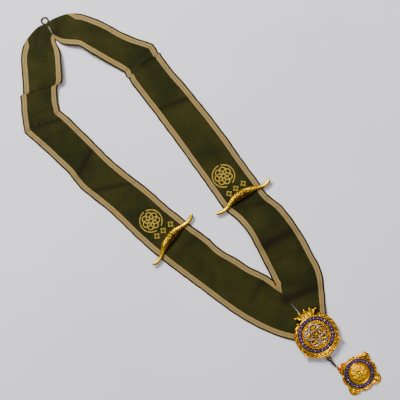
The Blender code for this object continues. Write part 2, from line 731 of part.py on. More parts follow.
def place_on_origin(things):
    """Shift the whole object so that the middle of its footprint is the origin."""
    bpy.context.view_layer.update()
    depsgraph = bpy.context.evaluated_depsgraph_get()
    corners = []
    for thing in things:
        shown = thing.evaluated_get(depsgraph)
        corners += [shown.matrix_world @ Vector(corner) for corner in shown.bound_box]
    low = Vector(min(corner[axis] for corner in corners) for axis in range(3))
    high = Vector(max(corner[axis] for corner in corners) for axis in range(3))
    shift = Vector((-(low.x + high.x) / 2, -(low.y + high.y) / 2, -low.z))
    for mesh in {thing.data for thing in bpy.data.objects}:
        mesh.transform(Matrix.Translation(shift))


def build():
    """Make the whole chain of office."""
    clear_scene()
    cloth = material("green_ribbon", (0.030, 0.030, 0.012), 0.85, 0.0)
    gilt = material("gilt", (0.80, 0.50, 0.10), 0.30, 1.0)
    steel = material("dark_wire", (0.10, 0.09, 0.08), 0.45, 1.0)
    silver = material("silver", (0.62, 0.58, 0.50), 0.35, 1.0)
    purple = material("purple_enamel", (0.05, 0.02, 0.12), 0.15, 0.0)
    red = material("red_enamel", (0.45, 0.03, 0.02), 0.15, 0.0)

    origin = np.zeros(2)
    medal_turn = math.radians(90 + MEDAL_TURN)
    left_centre, left_angle = seat_on_strand(STRAND_LEFT, BAR_SEATS["left"])
    right_centre, right_angle = seat_on_strand(STRAND_RIGHT, BAR_SEATS["right"])
    left_pin = pin_ends(left_centre, left_angle, BAR_PIN_SPAN)
    right_pin = pin_ends(right_centre, right_angle, BAR_PIN_SPAN)
    medal_pin = pin_ends(np.array((0.0, MEDAL_PIN_RISE)), 0.0, MEDAL_PIN_SPAN)
    apex_centre, apex_across = section_line(APEX)
    apex_end = apex_centre + apex_across / 2
    ring_centre = apex_end + NECK_RING_REACH * apex_across / np.hypot(*apex_across)

    seam = GAP / 2
    slit = APEX_SLIT / 2
    ring_wires = [(apex_end, ring_centre, NECK_RING_WIRE)]
    left_wires = [(*left_pin, PIN_WIRE), (*medal_pin, PIN_WIRE)]
    right_wires = [(*right_pin, PIN_WIRE), (*medal_pin, PIN_WIRE)]
    neck_left = ribbon_grid(NECK_LEFT, (slit, seam), ring_wires)
    neck_right = ribbon_grid(NECK_RIGHT, (slit, seam), ring_wires)
    strand_left = ribbon_grid(STRAND_LEFT, (seam, 0.0), left_wires)
    strand_right = ribbon_grid(STRAND_RIGHT, (seam, 0.0), right_wires, grid_outline(strand_left))
    cloths = [
        ribbon_object("neck_band_left", neck_left, cloth),
        ribbon_object("neck_band_right", neck_right, cloth),
        ribbon_object("ribbon_left", strand_left, cloth),
        ribbon_object("ribbon_right", strand_right, cloth),
    ]
    things = list(cloths)

    ring_path = circle(ring_centre, NECK_RING_RADIUS, NECK_RING_WIRE / 2, NECK_RING_STEPS)
    things.append(tube("neck_ring", ring_path, NECK_RING_WIRE, 6, True, steel, up=Vector((0, 0, 1))))

    legs = {}
    for side, centre, angle, ends, grid in (
        ("left", left_centre, left_angle, left_pin, strand_left),
        ("right", right_centre, right_angle, right_pin, strand_right),
    ):
        reach = BAR_WIDTH / 2 + HUMP_FLAT / 2
        half = 0.5 * BAR_LENGTH * np.array((math.cos(angle), math.sin(angle)))
        base = highest_top([grid], centre - half, centre + half, reach) + GAP
        things.append(horn_bar("horn_bar_" + side, centre, angle, base, gilt))
        things.append(pin("horn_pin_" + side, ends, base - GAP, steel))
        legs["horn_" + side] = ends

    medal_reach = MEDAL_INNER + SCROLL_WIDTH
    medal_base = highest_top([strand_left, strand_right], origin, origin + 1e-6, medal_reach) + GAP
    axis = np.array((math.cos(medal_turn), math.sin(medal_turn)))
    medal_bottom = medal_edge(math.pi)
    medal_eye = -(medal_bottom + 0.7 * EYE_RADIUS) * axis
    things.append(medal_frame(origin, medal_base, medal_turn, medal_eye, gilt))
    floor = medal_base + MEDAL_BASE + GAP
    enamel_inner = GROUND_RADIUS + RIM_WIDTH + GAP
    things.append(enamel_ring("medal_enamel", enamel_inner, ENAMEL_WIDTH, floor, origin, 48, purple))
    things.append(medal_knot(origin, floor, medal_turn, silver))
    things.append(pin("medal_pin", medal_pin, medal_base - GAP, steel))
    legs["medal"] = medal_pin

    down = np.array((0.0, -1.0))
    drop_outer = DISC_RADIUS + GAP + 2 * DROP_RIM_WIDTH + DROP_ENAMEL_WIDTH + 2 * GAP + DROP_LOBE
    eye_height = DROP_BASE + EYE_RADIUS / 2 + GAP / 2
    drop_turn = math.radians(90 + DROP_TURN)
    drop_eye = medal_eye + (2 * EYE_RADIUS + LINK_LENGTH) * down
    drop_axis = np.array((math.cos(drop_turn), math.sin(drop_turn)))
    drop_centre = drop_eye - (drop_outer + 0.8 * EYE_RADIUS) * drop_axis
    link_start = (*(medal_eye + EYE_RADIUS * down), medal_base + MEDAL_BASE)
    link_end = (*(drop_eye - EYE_RADIUS * down), eye_height)
    things.append(link(link_start, link_end, steel))
    things.append(drop_frame(drop_centre, drop_turn, drop_eye, eye_height, gilt))
    drop_floor = DROP_BASE + GAP
    drop_inner = DISC_RADIUS + 2 * GAP + DROP_RIM_WIDTH
    things.append(enamel_ring("drop_enamel", drop_inner, DROP_ENAMEL_WIDTH, drop_floor, drop_centre, 48, purple))
    things.append(drop_disc(drop_centre, drop_turn, gilt))
    spot_base = DROP_BASE + DROP_RIM + DROP_BOSS + GAP
    for number, place in enumerate(SPOTS, start=1):
        turn = drop_turn + math.radians(place.turn)
        centre = drop_centre + place.out * DISC_RADIUS * np.array((math.cos(turn), math.sin(turn)))
        things.append(spot(f"drop_spot_{number}", centre, spot_base, red))

    depth = RIBBON_LIFT + 2 * LAYER + PIN_WIRE
    for owner, ends in legs.items():
        cut = cloths[2:] if owner == "medal" else [cloths[2 if owner == "horn_left" else 3]]
        for number, place in enumerate(ends, start=1):
            for each in cut:
                hole = pin_hole(f"{owner}_{each.name}_hole_{number}", place, depth)
                boolean(each, hole, "DIFFERENCE")
    place_on_origin(things)


build()
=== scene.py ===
"""Looks of the chain of office: woven ribbon, gold embroidery, gilt bars, medal and drop."""

import math
from collections import namedtuple

import bpy
import numpy as np
from bpy.props import FloatProperty, FloatVectorProperty, IntProperty, PointerProperty
from mathutils import Matrix, Vector
from mathutils.bvhtree import BVHTree


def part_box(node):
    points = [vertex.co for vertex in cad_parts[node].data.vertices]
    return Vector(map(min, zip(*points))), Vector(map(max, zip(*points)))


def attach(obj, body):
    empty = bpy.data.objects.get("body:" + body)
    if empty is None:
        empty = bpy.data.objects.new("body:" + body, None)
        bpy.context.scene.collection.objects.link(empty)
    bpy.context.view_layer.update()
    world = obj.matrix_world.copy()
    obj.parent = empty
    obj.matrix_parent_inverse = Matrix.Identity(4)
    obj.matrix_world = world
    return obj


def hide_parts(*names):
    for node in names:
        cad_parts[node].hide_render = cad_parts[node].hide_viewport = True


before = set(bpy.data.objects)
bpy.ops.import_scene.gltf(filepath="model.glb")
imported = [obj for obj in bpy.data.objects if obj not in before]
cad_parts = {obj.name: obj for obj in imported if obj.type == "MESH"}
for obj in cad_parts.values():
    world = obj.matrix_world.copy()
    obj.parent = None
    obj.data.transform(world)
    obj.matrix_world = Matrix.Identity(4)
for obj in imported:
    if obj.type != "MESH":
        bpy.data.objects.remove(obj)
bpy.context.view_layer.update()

bl_info = {
    "name": "Chain of office",
    "version": (1, 0, 0),
    "blender": (4, 5, 0),
    "location": "3D View > Sidebar > Regalia",
    "description": "Dresses a ribbon collar with its bars, medal and drop",
    "category": "Object",
}

MM = 0.001
BODY = "root"

# The photograph's frame: its middle, the medal's pixel, and how its axes lie on the table
PHOTO_MIDDLE = np.array((200.0, 200.0))
MEDAL_PIXEL = np.array((316.0, 334.3))
PHOTO_RIGHT = np.array((0.75735, -0.65301))
PHOTO_UP = np.array((0.65301, 0.75735))

# Stage, in metres. The lamps stand off from STAGE_MIDDLE along the photograph's axes.
UP = Vector((0, 0, 1))
SKY_BRIGHT = (0.28, 0.72, 0.50)
STAGE_MIDDLE = Vector((0.01, 0.0, 0.0))
VIEW_WIDTH = 0.400
CAMERA_HEIGHT = 1.7
Lamp = namedtuple("Lamp", "name up right height size power")
LAMPS = [
    Lamp("window", 0.95, -0.75, 1.25, 0.55, 60.0),
    Lamp("sky_card", 0.15, 0.1, 1.9, 1.3, 12.0),
    Lamp("kicker", -0.9, 0.9, 0.8, 0.5, 2.5),
]

# Collar, as in the part
COLLAR_LENGTH = 415.0 * MM
COLLAR_WIDTH = 156.0 * MM
RIBBON_WIDTH = 44.5 * MM
RIBBON_THICKNESS = 1.2 * MM
RIBBON_LIFT = 6.0 * MM
CELLS_ACROSS = 6
CELL_LENGTH = 7.6 * MM
GAP = 0.3 * MM
LAYER = RIBBON_THICKNESS + 0.6 * MM
HUMP_FLAT = 10.0 * MM
HUMP_REACH = 24.0 * MM
NECK_RING_WIRE = 1.2 * MM
NECK_RING_REACH = 3.2 * MM
PIN_WIRE = 1.0 * MM
BAR_LENGTH = 65.0 * MM
BAR_WIDTH = 8.6 * MM
BAR_HEIGHT = 4.6 * MM
BAR_BOW = 2.6 * MM
BAR_PIN_SPAN = 18.0 * MM
MEDAL_PIN_SPAN = 22.0 * MM
MEDAL_PIN_RISE = 9.0 * MM

MEDAL_LOW, MEDAL_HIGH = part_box("medal_enamel")
MEDAL_CENTRE = np.array(((MEDAL_LOW.x + MEDAL_HIGH.x) / 2, (MEDAL_LOW.y + MEDAL_HIGH.y) / 2))
DROP_LOW, DROP_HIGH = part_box("drop_disc")
DROP_CENTRE = np.array(((DROP_LOW.x + DROP_HIGH.x) / 2, (DROP_LOW.y + DROP_HIGH.y) / 2))

# Ribbon sections, as in the part. x is a share of COLLAR_WIDTH, y of COLLAR_LENGTH and across of
# RIBBON_WIDTH. turn is the direction from the inner edge to the outer one in degrees. inner,
# middle and outer are heights as shares of RIBBON_LIFT.
Section = namedtuple("Section", "x y turn across inner middle outer")
APEX = Section(-0.020, 0.969, 79, 0.424, 0.10, 0.10, 0.05)
SHOULDER_LEFT = Section(-0.439, 0.819, 172, 0.945, 0.20, 0.10, 0.00)
SHOULDER_RIGHT = Section(0.294, 0.783, 4, 0.914, 0.25, 0.10, 0.00)
NECK_LEFT = [
    APEX,
    Section(-0.045, 0.970, 95, 0.499, 0.20, 0.15, 0.05),
    Section(-0.093, 0.964, 120, 0.677, 0.45, 0.20, 0.05),
    Section(-0.135, 0.952, 129, 0.853, 0.65, 0.30, 0.05),
    Section(-0.184, 0.933, 134, 0.930, 0.90, 0.40, 0.05),
    Section(-0.234, 0.908, 139, 0.916, 1.00, 0.45, 0.05),
    Section(-0.279, 0.889, 146, 0.891, 0.85, 0.40, 0.05),
    Section(-0.319, 0.878, 153, 0.869, 0.60, 0.25, 0.00),
    Section(-0.370, 0.859, 157, 0.869, 0.35, 0.15, 0.00),
    SHOULDER_LEFT,
]
NECK_RIGHT = [
    APEX,
    Section(0.022, 0.958, 61, 0.616, 0.25, 0.15, 0.05),
    Section(0.071, 0.945, 56, 0.720, 0.55, 0.25, 0.05),
    Section(0.125, 0.927, 51, 0.758, 0.85, 0.35, 0.05),
    Section(0.159, 0.901, 43, 0.787, 1.00, 0.45, 0.05),
    Section(0.191, 0.873, 37, 0.802, 0.90, 0.40, 0.05),
    Section(0.220, 0.842, 29, 0.783, 0.65, 0.25, 0.00),
    Section(0.250, 0.816, 20, 0.800, 0.40, 0.15, 0.00),
    SHOULDER_RIGHT,
]
STRAND_LEFT = [
    SHOULDER_LEFT,
    Section(-0.421, 0.775, 185, 0.926, 0.30, 0.15, 0.00),
    Section(-0.410, 0.730, 185, 0.915, 0.10, 0.05, 0.05),
    Section(-0.400, 0.687, 182, 0.905, 0.05, 0.15, 0.10),
    Section(-0.398, 0.643, 186, 0.953, 0.10, 0.05, 0.00),
    Section(-0.380, 0.600, 191, 0.940, 0.15, 0.05, 0.00),
    Section(-0.357, 0.555, 190, 0.950, 0.05, 0.10, 0.00),
    Section(-0.340, 0.512, 187, 0.984, 0.00, 0.00, 0.00),
    Section(-0.328, 0.468, 188, 1.000, 0.00, 0.00, 0.00),
    Section(-0.309, 0.423, 189, 1.020, 0.00, 0.05, 0.00),
    Section(-0.289, 0.380, 192, 1.021, 0.00, 0.05, 0.00),
    Section(-0.264, 0.337, 191, 1.033, 0.00, 0.00, 0.00),
    Section(-0.244, 0.294, 193, 0.994, 0.10, 0.05, 0.00),
    Section(-0.212, 0.251, 195, 1.041, 0.05, 0.05, 0.00),
    Section(-0.183, 0.208, 198, 1.072, 0.00, 0.00, 0.00),
    Section(-0.145, 0.167, 201, 1.128, 0.00, 0.00, 0.00),
    Section(-0.110, 0.126, 208, 1.100, 0.00, 0.00, 0.00),
    Section(-0.074, 0.090, 213, 1.040, 0.00, 0.00, 0.00),
    Section(-0.026, 0.040, 221, 0.780, 0.00, 0.00, 0.00),
    Section(0.019, -0.011, 239, 0.443, 0.00, 0.00, 0.00),
]
STRAND_RIGHT = [
    SHOULDER_RIGHT,
    Section(0.284, 0.742, -3, 0.921, 0.35, 0.15, 0.00),
    Section(0.278, 0.700, -2, 0.930, 0.10, 0.05, 0.00),
    Section(0.276, 0.659, -2, 0.952, 0.00, 0.05, 0.05),
    Section(0.270, 0.618, -3, 0.968, 0.05, 0.10, 0.10),
    Section(0.265, 0.577, -3, 0.983, 0.05, 0.05, 0.00),
    Section(0.257, 0.535, -5, 0.994, 0.00, 0.00, 0.00),
    Section(0.248, 0.494, -5, 1.002, 0.00, 0.00, 0.00),
    Section(0.238, 0.454, -6, 0.991, 0.00, 0.00, 0.00),
    Section(0.227, 0.411, -4, 0.998, 0.05, 0.00, 0.00),
    Section(0.219, 0.371, 0, 0.995, 0.10, 0.05, 0.00),
    Section(0.223, 0.332, 2, 0.900, 0.60, 0.20, 0.00),
    Section(0.232, 0.292, -1, 0.980, 0.90, 0.30, 0.00),
    Section(0.220, 0.250, -7, 1.045, 0.70, 0.25, 0.00),
    Section(0.201, 0.210, -13, 1.080, 0.35, 0.10, 0.00),
    Section(0.176, 0.170, -18, 1.093, 0.15, 0.05, 0.00),
    Section(0.150, 0.131, -26, 1.100, 0.05, 0.00, 0.00),
    Section(0.111, 0.094, -38, 0.951, 0.00, 0.00, 0.00),
    Section(0.071, 0.050, -47, 0.688, 0.00, 0.00, 0.00),
    Section(0.031, 0.006, -61, 0.396, 0.00, 0.00, 0.00),
    Section(0.008, -0.027, -79, 0.137, 0.00, 0.00, 0.00),
]
BarSeat = namedtuple("BarSeat", "y lean")
BAR_SEATS = {"left": BarSeat(0.401, 1.0), "right": BarSeat(0.368, -9.0)}

# How much cloth is folded under at each edge, in mm, at a row of the section tables
Tuck = namedtuple("Tuck", "row inner outer")
TUCKS = {
    "neck_left": [Tuck(0, 0, 24), Tuck(2, 0, 8.5), Tuck(3, 0, 0)],
    "neck_right": [Tuck(0, 0, 24), Tuck(1, 0, 14), Tuck(2, 0, 6.6), Tuck(2.7, 0, 0)],
    "strand_left": [Tuck(16.5, 0, 0), Tuck(17.4, 6.5, 0), Tuck(18, 12, 0), Tuck(19, 25, 0)],
    "strand_right": [Tuck(16.0, 0, 0), Tuck(17.0, 6.6, 0), Tuck(18, 16, 0), Tuck(20, 40, 0)],
}

# Folds pressed into the cloth, between two pixels. width and depth are in mm, and dark, 0 to 1, is the
# painted shade along the fold.
Crease = namedtuple("Crease", "x0 y0 x1 y1 width depth dark")
CREASES = [
    Crease(92, 150, 78, 178, 2.6, -0.35, 0.8), Crease(92, 191, 135, 183, 2.4, -0.30, 0.7),
    Crease(158, 110, 192, 97, 2.6, -0.35, 0.8), Crease(264, 246, 296, 229, 6.0, -0.45, 1.0),
    Crease(285, 300, 322, 285, 5.0, -0.45, 1.0), Crease(235, 207, 262, 203, 2.6, 0.35, 0.5),
    Crease(128, 69, 151, 49, 1.2, -0.40, 0.8), Crease(143, 65, 155, 56, 1.8, -0.35, 0.9),
    Crease(57, 113, 26, 131, 1.4, -0.35, 0.6), Crease(60, 120, 33, 128, 2.0, -0.40, 0.8),
    Crease(57, 107, 36, 112, 1.8, 0.25, 0.3), Crease(40, 24, 36, 44, 3.0, -0.30, 0.5),
    Crease(56, 18, 58, 34, 2.6, -0.25, 0.4), Crease(60, 84, 23, 95, 0.9, -0.30, 0.6),
    Crease(220, 262, 236, 232, 3.0, 0.20, 0.2), Crease(180, 253, 206, 230, 4.0, -0.20, 0.3),
    Crease(113, 214, 133, 186, 3.0, -0.20, 0.3), Crease(252, 300, 268, 268, 4.0, -0.25, 0.5),
    Crease(150, 72, 178, 64, 3.0, 0.25, 0.2), Crease(40, 140, 66, 128, 3.0, 0.25, 0.2),
    Crease(270, 262, 300, 250, 4.0, 0.30, 0.2), Crease(300, 314, 322, 306, 3.0, -0.25, 0.8),
]

# A lap where one length of ribbon ends on another: the line across, the step and the slide in mm
Lap = namedtuple("Lap", "x0 y0 x1 y1 step slide fade")
LAPS = {
    "neck_left": Lap(60.5, 84, 22.0, 95, 0.45, 1.7, 12.0),
    "strand_right": Lap(130, 76, 159, 52.6, 0.35, 1.1, 6.0),
}

# A straight line between two pixels
Line = namedtuple("Line", "x0 y0 x1 y1")

# Bright slits where two edges meet
GLINTS = {
    "strand_right": [Line(290.0, 304.0, 299.5, 314.0)],
    "neck_right": [Line(48.2, 27.6, 52.3, 35.6)],
}
GLINT_WIDTH = 0.6 * MM

# Machine stitches
STITCH_LINES = {
    "stitches_right": [Line(128.5, 68.0, 150.5, 48.5), Line(129.6, 69.6, 151.9, 50.2)],
    "stitches_left": [Line(27.5, 129.0, 57.0, 112.0), Line(29.0, 131.0, 58.5, 114.5)],
    "stitches_lap": [Line(24.5, 93.0, 59.5, 82.5)],
    "stitches_nape": [Line(33.5, 31.5, 43.5, 25.5), Line(49.0, 23.0, 62.0, 17.5)],
}

# Embroidered roundels and the three small florets beside each
Motif = namedtuple("Motif", "x y")
ROUNDELS = {"left": Motif(151.0, 221.0), "right": Motif(223.5, 176.0)}
FLORETS = {
    "left": [Motif(157.0, 236.0), Motif(163.3, 230.6), Motif(170.6, 224.2)],
    "right": [Motif(229.0, 193.6), Motif(235.7, 188.4), Motif(243.2, 183.4)],
}
ROUNDEL_RADIUS = 11.2 * MM
FLORET_RADIUS = 3.0 * MM
THREAD_SEED = 4

# Weave, in mm: from rib to rib along the ribbon, and from warp to warp across it
RIB_PITCH = 0.85
WARP_PITCH = 0.55

# Tones of the cloth beside the two that a user sets, as linear colours
FIELD_WORN = (0.0230, 0.0210, 0.0044)
FIELD_DEEP = (0.0100, 0.0118, 0.0030)
STRIPE_WARM = (0.245, 0.152, 0.048)
STRIPE_GREY = (0.165, 0.130, 0.056)
STRIPE_MIDDLE = (0.085, 0.058, 0.020)
STRIPE_EDGE = (0.020, 0.011, 0.003)
SELVAGE_TONE = (0.016, 0.011, 0.004)
LINT_TONE = (0.068, 0.062, 0.020)
# Painted shade in the folds
FOLD_SHADE = (0.008, 0.006, 0.003)
SLIT_TONE = (0.50, 0.48, 0.45)

# Bars. Their sections are as in the part, and BAR_WIDENING is how much wider the photograph's are.
BarSection = namedtuple("BarSection", "along bow width height rise")
BAR_SECTIONS = [
    BarSection(-0.500, 0.15, 0.16, 0.16, 0.34), BarSection(-0.470, -0.20, 0.32, 0.36, 0.22),
    BarSection(-0.420, -0.55, 0.38, 0.50, 0.12), BarSection(-0.350, -0.65, 0.40, 0.58, 0.04),
    BarSection(-0.280, -0.20, 0.42, 0.62, 0.00), BarSection(-0.220, 0.40, 0.54, 0.70, 0.00),
    BarSection(-0.160, 0.80, 0.80, 0.88, 0.00), BarSection(-0.080, 1.00, 0.97, 0.98, 0.00),
    BarSection(0.000, 1.05, 1.00, 1.00, 0.00), BarSection(0.080, 1.00, 0.95, 0.98, 0.00),
    BarSection(0.150, 0.85, 0.80, 0.88, 0.00), BarSection(0.210, 0.55, 0.56, 0.72, 0.00),
    BarSection(0.280, 0.00, 0.44, 0.62, 0.00), BarSection(0.350, -0.55, 0.42, 0.58, 0.04),
    BarSection(0.420, -0.50, 0.42, 0.50, 0.12), BarSection(0.470, -0.15, 0.38, 0.38, 0.22),
    BarSection(0.500, 0.20, 0.20, 0.18, 0.34),
]
BAR_WIDENING = 1.20

# Raised rings on each horn: how far from the middle and how wide, as shares of BAR_LENGTH
BarRing = namedtuple("BarRing", "away wide")
BAR_RINGS = [BarRing(0.215, 0.010), BarRing(0.245, 0.008)]

# Medal, as in the part
MEDAL_TURN = math.radians(90 - 12.8)
GROUND_RADIUS = 13.6 * MM
RIM_WIDTH = 0.9 * MM
ENAMEL_WIDTH = 3.2 * MM
MEDAL_INNER = GROUND_RADIUS + 2 * RIM_WIDTH + ENAMEL_WIDTH + 2 * GAP
MEDAL_BASE = 1.2 * MM
MEDAL_RIM = 1.2 * MM
MEDAL_RELIEF = 2.2 * MM
LEAF_WIDTH = 3.4 * MM
SCROLL_WIDTH = 5.4 * MM
CROWN_WIDTH = 23.4 * MM
CROWN_HEIGHT = 9.2 * MM
CROWN_BACK = 0.3 * MM
CROWN_SPREAD = 30.0
SCROLL_START = 122.0
LEAVES_PER_SIDE = 8
RELIEF_LEAVES = 5.5
KNOT_RADIUS = 7.6 * MM
KNOT_SWING = 3.7 * MM
KNOT_STRAP = 1.7 * MM
KNOT_THICKNESS = 0.7 * MM
FILIGREE_RADIUS = 8.3 * MM
FILIGREE_SWING = 3.7 * MM
FILIGREE_WIRE = 0.8 * MM
EYE_RADIUS = 1.9 * MM
EYE_WIRE = 1.1 * MM
LINK_WIRE = 2.2 * MM
RING_WIRE = 1.7 * MM

# Rings of beads round the knot's middle. radius and bead are in mm, and start is a share of a step.
BeadRing = namedtuple("BeadRing", "radius bead count start")
BEAD_RINGS = [
    BeadRing(12.35, 0.62, 20, 0.5), BeadRing(7.6, 0.75, 5, 0.0), BeadRing(3.4, 0.5, 5, 0.5),
    BeadRing(0.0, 1.25, 1, 0.0),
]

# The medal's rims in section: share of RIM_WIDTH outwards, and height as a share of MEDAL_RIM
RimPoint = namedtuple("RimPoint", "share rise")
INNER_RIM = [
    RimPoint(0.0, -0.2), RimPoint(0.1, 0.55), RimPoint(0.3, 0.95), RimPoint(0.5, 1.0),
    RimPoint(0.7, 0.95), RimPoint(0.9, 0.55), RimPoint(1.0, 0.0),
]
OUTER_RIM = [
    RimPoint(0.0, 0.55), RimPoint(0.15, 0.9), RimPoint(0.5, 1.0), RimPoint(0.85, 0.9),
    RimPoint(1.0, 0.5),
]

# Drop, as in the part
DROP_TURN = math.radians(90 + 33)
DROP_BASE = 1.0 * MM
DROP_RIM = 0.9 * MM
DISC_RADIUS = 10.3 * MM
DISC_THICKNESS = 0.9 * MM
DISC_DOME = 1.3 * MM
DROP_RIM_WIDTH = 0.5 * MM
DROP_ENAMEL_WIDTH = 3.3 * MM
DROP_LOBE = 7.2 * MM
DROP_BOSS = 1.1 * MM
SPOT_RADIUS = 1.3 * MM
DROP_SEAT = DISC_RADIUS + GAP
DROP_CHANNEL = DROP_SEAT + DROP_RIM_WIDTH
DROP_CHANNEL_END = DROP_CHANNEL + DROP_ENAMEL_WIDTH + 2 * GAP
DROP_OUTER = DROP_CHANNEL_END + DROP_RIM_WIDTH

# The drop's edge from a corner to the middle of a side: degrees, and share of DROP_LOBE outwards
LobePoint = namedtuple("LobePoint", "turn out")
DROP_EDGE = [
    LobePoint(0, 1.00), LobePoint(6, 0.94), LobePoint(12, 0.74), LobePoint(19, 0.42),
    LobePoint(26, 0.20), LobePoint(32, 0.30), LobePoint(38, 0.42), LobePoint(45, 0.36),
]

# Spirals on the drop: degrees away from a corner, and in mm how far past DROP_OUTER and how large
DropCurl = namedtuple("DropCurl", "away out size")
DROP_CURLS = [DropCurl(15, 3.0, 1.25), DropCurl(26, 1.4, 1.0), DropCurl(38, 2.0, 1.05)]


# Sizes and colours that a user would change

class ChainSizes(bpy.types.PropertyGroup):
    """Sizes of the cloth's and the metal's finish."""

    stripe: FloatProperty(
        name="Stripe", description="Width of the tan stripe", default=4.7 * MM, unit="LENGTH")
    selvage: FloatProperty(
        name="Selvage", description="Width of the dark edge", default=1.6 * MM, unit="LENGTH")
    cell: FloatProperty(
        name="Cloth cell", description="Spacing of the cloth's points", default=1.1 * MM, unit="LENGTH")
    thread: FloatProperty(
        name="Thread", description="Thickness of a gold thread", default=0.42 * MM, unit="LENGTH")
    stroke: FloatProperty(
        name="Stroke", description="Width of a satin stitch line", default=1.6 * MM, unit="LENGTH")
    stitch_gap: FloatProperty(
        name="Stitch gap", description="Spacing of the machine stitches", default=1.9 * MM,
        unit="LENGTH")
    medal_steps: IntProperty(
        name="Medal steps", description="Points round the medal's relief", default=420)


class ChainColours(bpy.types.PropertyGroup):
    """Colours of the chain's finishes, as linear values."""

    field: FloatVectorProperty(
        name="Field", description="Olive cloth", subtype="COLOR", size=3,
        default=(0.0168, 0.0170, 0.0035))
    stripe: FloatVectorProperty(
        name="Stripe", description="Tan stripe", subtype="COLOR", size=3,
        default=(0.212, 0.150, 0.058))
    gold: FloatVectorProperty(
        name="Gold", description="Gilt metal", subtype="COLOR", size=3,
        default=(0.76, 0.42, 0.006))
    thread: FloatVectorProperty(
        name="Gold thread", description="Embroidery thread", subtype="COLOR", size=3,
        default=(0.40, 0.270, 0.010))
    enamel: FloatVectorProperty(
        name="Enamel", description="Purple enamel", subtype="COLOR", size=3,
        default=(0.052, 0.010, 0.078))


# Node trees

class Value:
    """A socket whose shader maths is written as a Python expression."""

    def __init__(self, tree, socket):
        self.tree = tree
        self.socket = socket

    def math(self, operation, *others):
        inputs = dict(enumerate((self, *others)))
        made = self.tree.add("ShaderNodeMath", {"operation": operation}, inputs)
        return self.tree.out(made, 0)

    def __add__(self, other):
        return self.math("ADD", other)

    __radd__ = __add__

    def __mul__(self, other):
        return self.math("MULTIPLY", other)

    __rmul__ = __mul__

    def __sub__(self, other):
        return self.math("SUBTRACT", other)

    def __rsub__(self, other):
        return (self * -1.0) + other

    def sine(self):
        return self.math("SINE")

    def least(self, other):
        return self.math("MINIMUM", other)

    def ramp(self, start, end):
        """0 at start and 1 at end, with a smooth slope between."""
        made = self.tree.add(
            "ShaderNodeMapRange", {"interpolation_type": "SMOOTHSTEP"},
            {"Value": self, "From Min": start, "From Max": end},
        )
        return self.tree.out(made, "Result")


class Tree:
    """A node tree that is built by adding nodes with their settings and inputs."""

    def __init__(self, tree):
        self.tree = tree

    def add(self, kind, settings=None, inputs=None):
        made = self.tree.nodes.new(kind)
        for name, value in (settings or {}).items():
            setattr(made, name, value)
        for name, value in (inputs or {}).items():
            self.feed(made.inputs[name], value)
        return made

    def feed(self, socket, value):
        if isinstance(value, Value):
            self.tree.links.new(value.socket, socket)
        elif isinstance(value, bpy.types.NodeSocket):
            self.tree.links.new(value, socket)
        elif isinstance(value, tuple) and len(value) == 3 and socket.type == "RGBA":
            socket.default_value = (*value, 1.0)
        else:
            socket.default_value = value

    def out(self, node, name):
        return Value(self, node.outputs[name])


class Finish(Tree):
    """A material that starts as one Principled shader."""

    def __init__(self, name, roughness, metallic=0.0, **fixed):
        self.material = bpy.data.materials.new(name)
        self.material.use_nodes = True
        super().__init__(self.material.node_tree)
        self.shader = self.tree.nodes["Principled BSDF"]
        self.shader.inputs["Roughness"].default_value = roughness
        self.shader.inputs["Metallic"].default_value = metallic
        for socket, value in fixed.items():
            self.feed(self.shader.inputs[socket.replace("_", " ")], value)
        self.place = self.add("ShaderNodeTexCoord").outputs["Object"]

    def attribute(self, name):
        return self.out(self.add("ShaderNodeAttribute", {"attribute_name": name}), "Fac")

    def noise(self, scale, detail):
        inputs = {"Vector": self.place, "Scale": scale, "Detail": detail}
        return self.out(self.add("ShaderNodeTexNoise", None, inputs), "Fac")

    def cells(self, scale):
        made = self.add("ShaderNodeTexVoronoi", None, {"Vector": self.place, "Scale": scale})
        return self.out(made, "Distance")

    def mix(self, share, first, second):
        made = self.add("ShaderNodeMix", {"data_type": "RGBA"})
        self.feed(made.inputs["Factor"], share)
        for name, value in (("A", first), ("B", second)):
            socket = next(s for s in made.inputs if s.name == name and s.type == "RGBA")
            self.feed(socket, value)
        return next(s for s in made.outputs if s.type == "RGBA")

    def colour(self, value):
        self.feed(self.shader.inputs["Base Color"], value)

    def rough(self, value):
        self.feed(self.shader.inputs["Roughness"], value)

    def bump(self, height, distance, strength):
        inputs = {"Height": height, "Distance": distance, "Strength": strength}
        made = self.add("ShaderNodeBump", None, inputs)
        self.feed(self.shader.inputs["Normal"], made.outputs["Normal"])


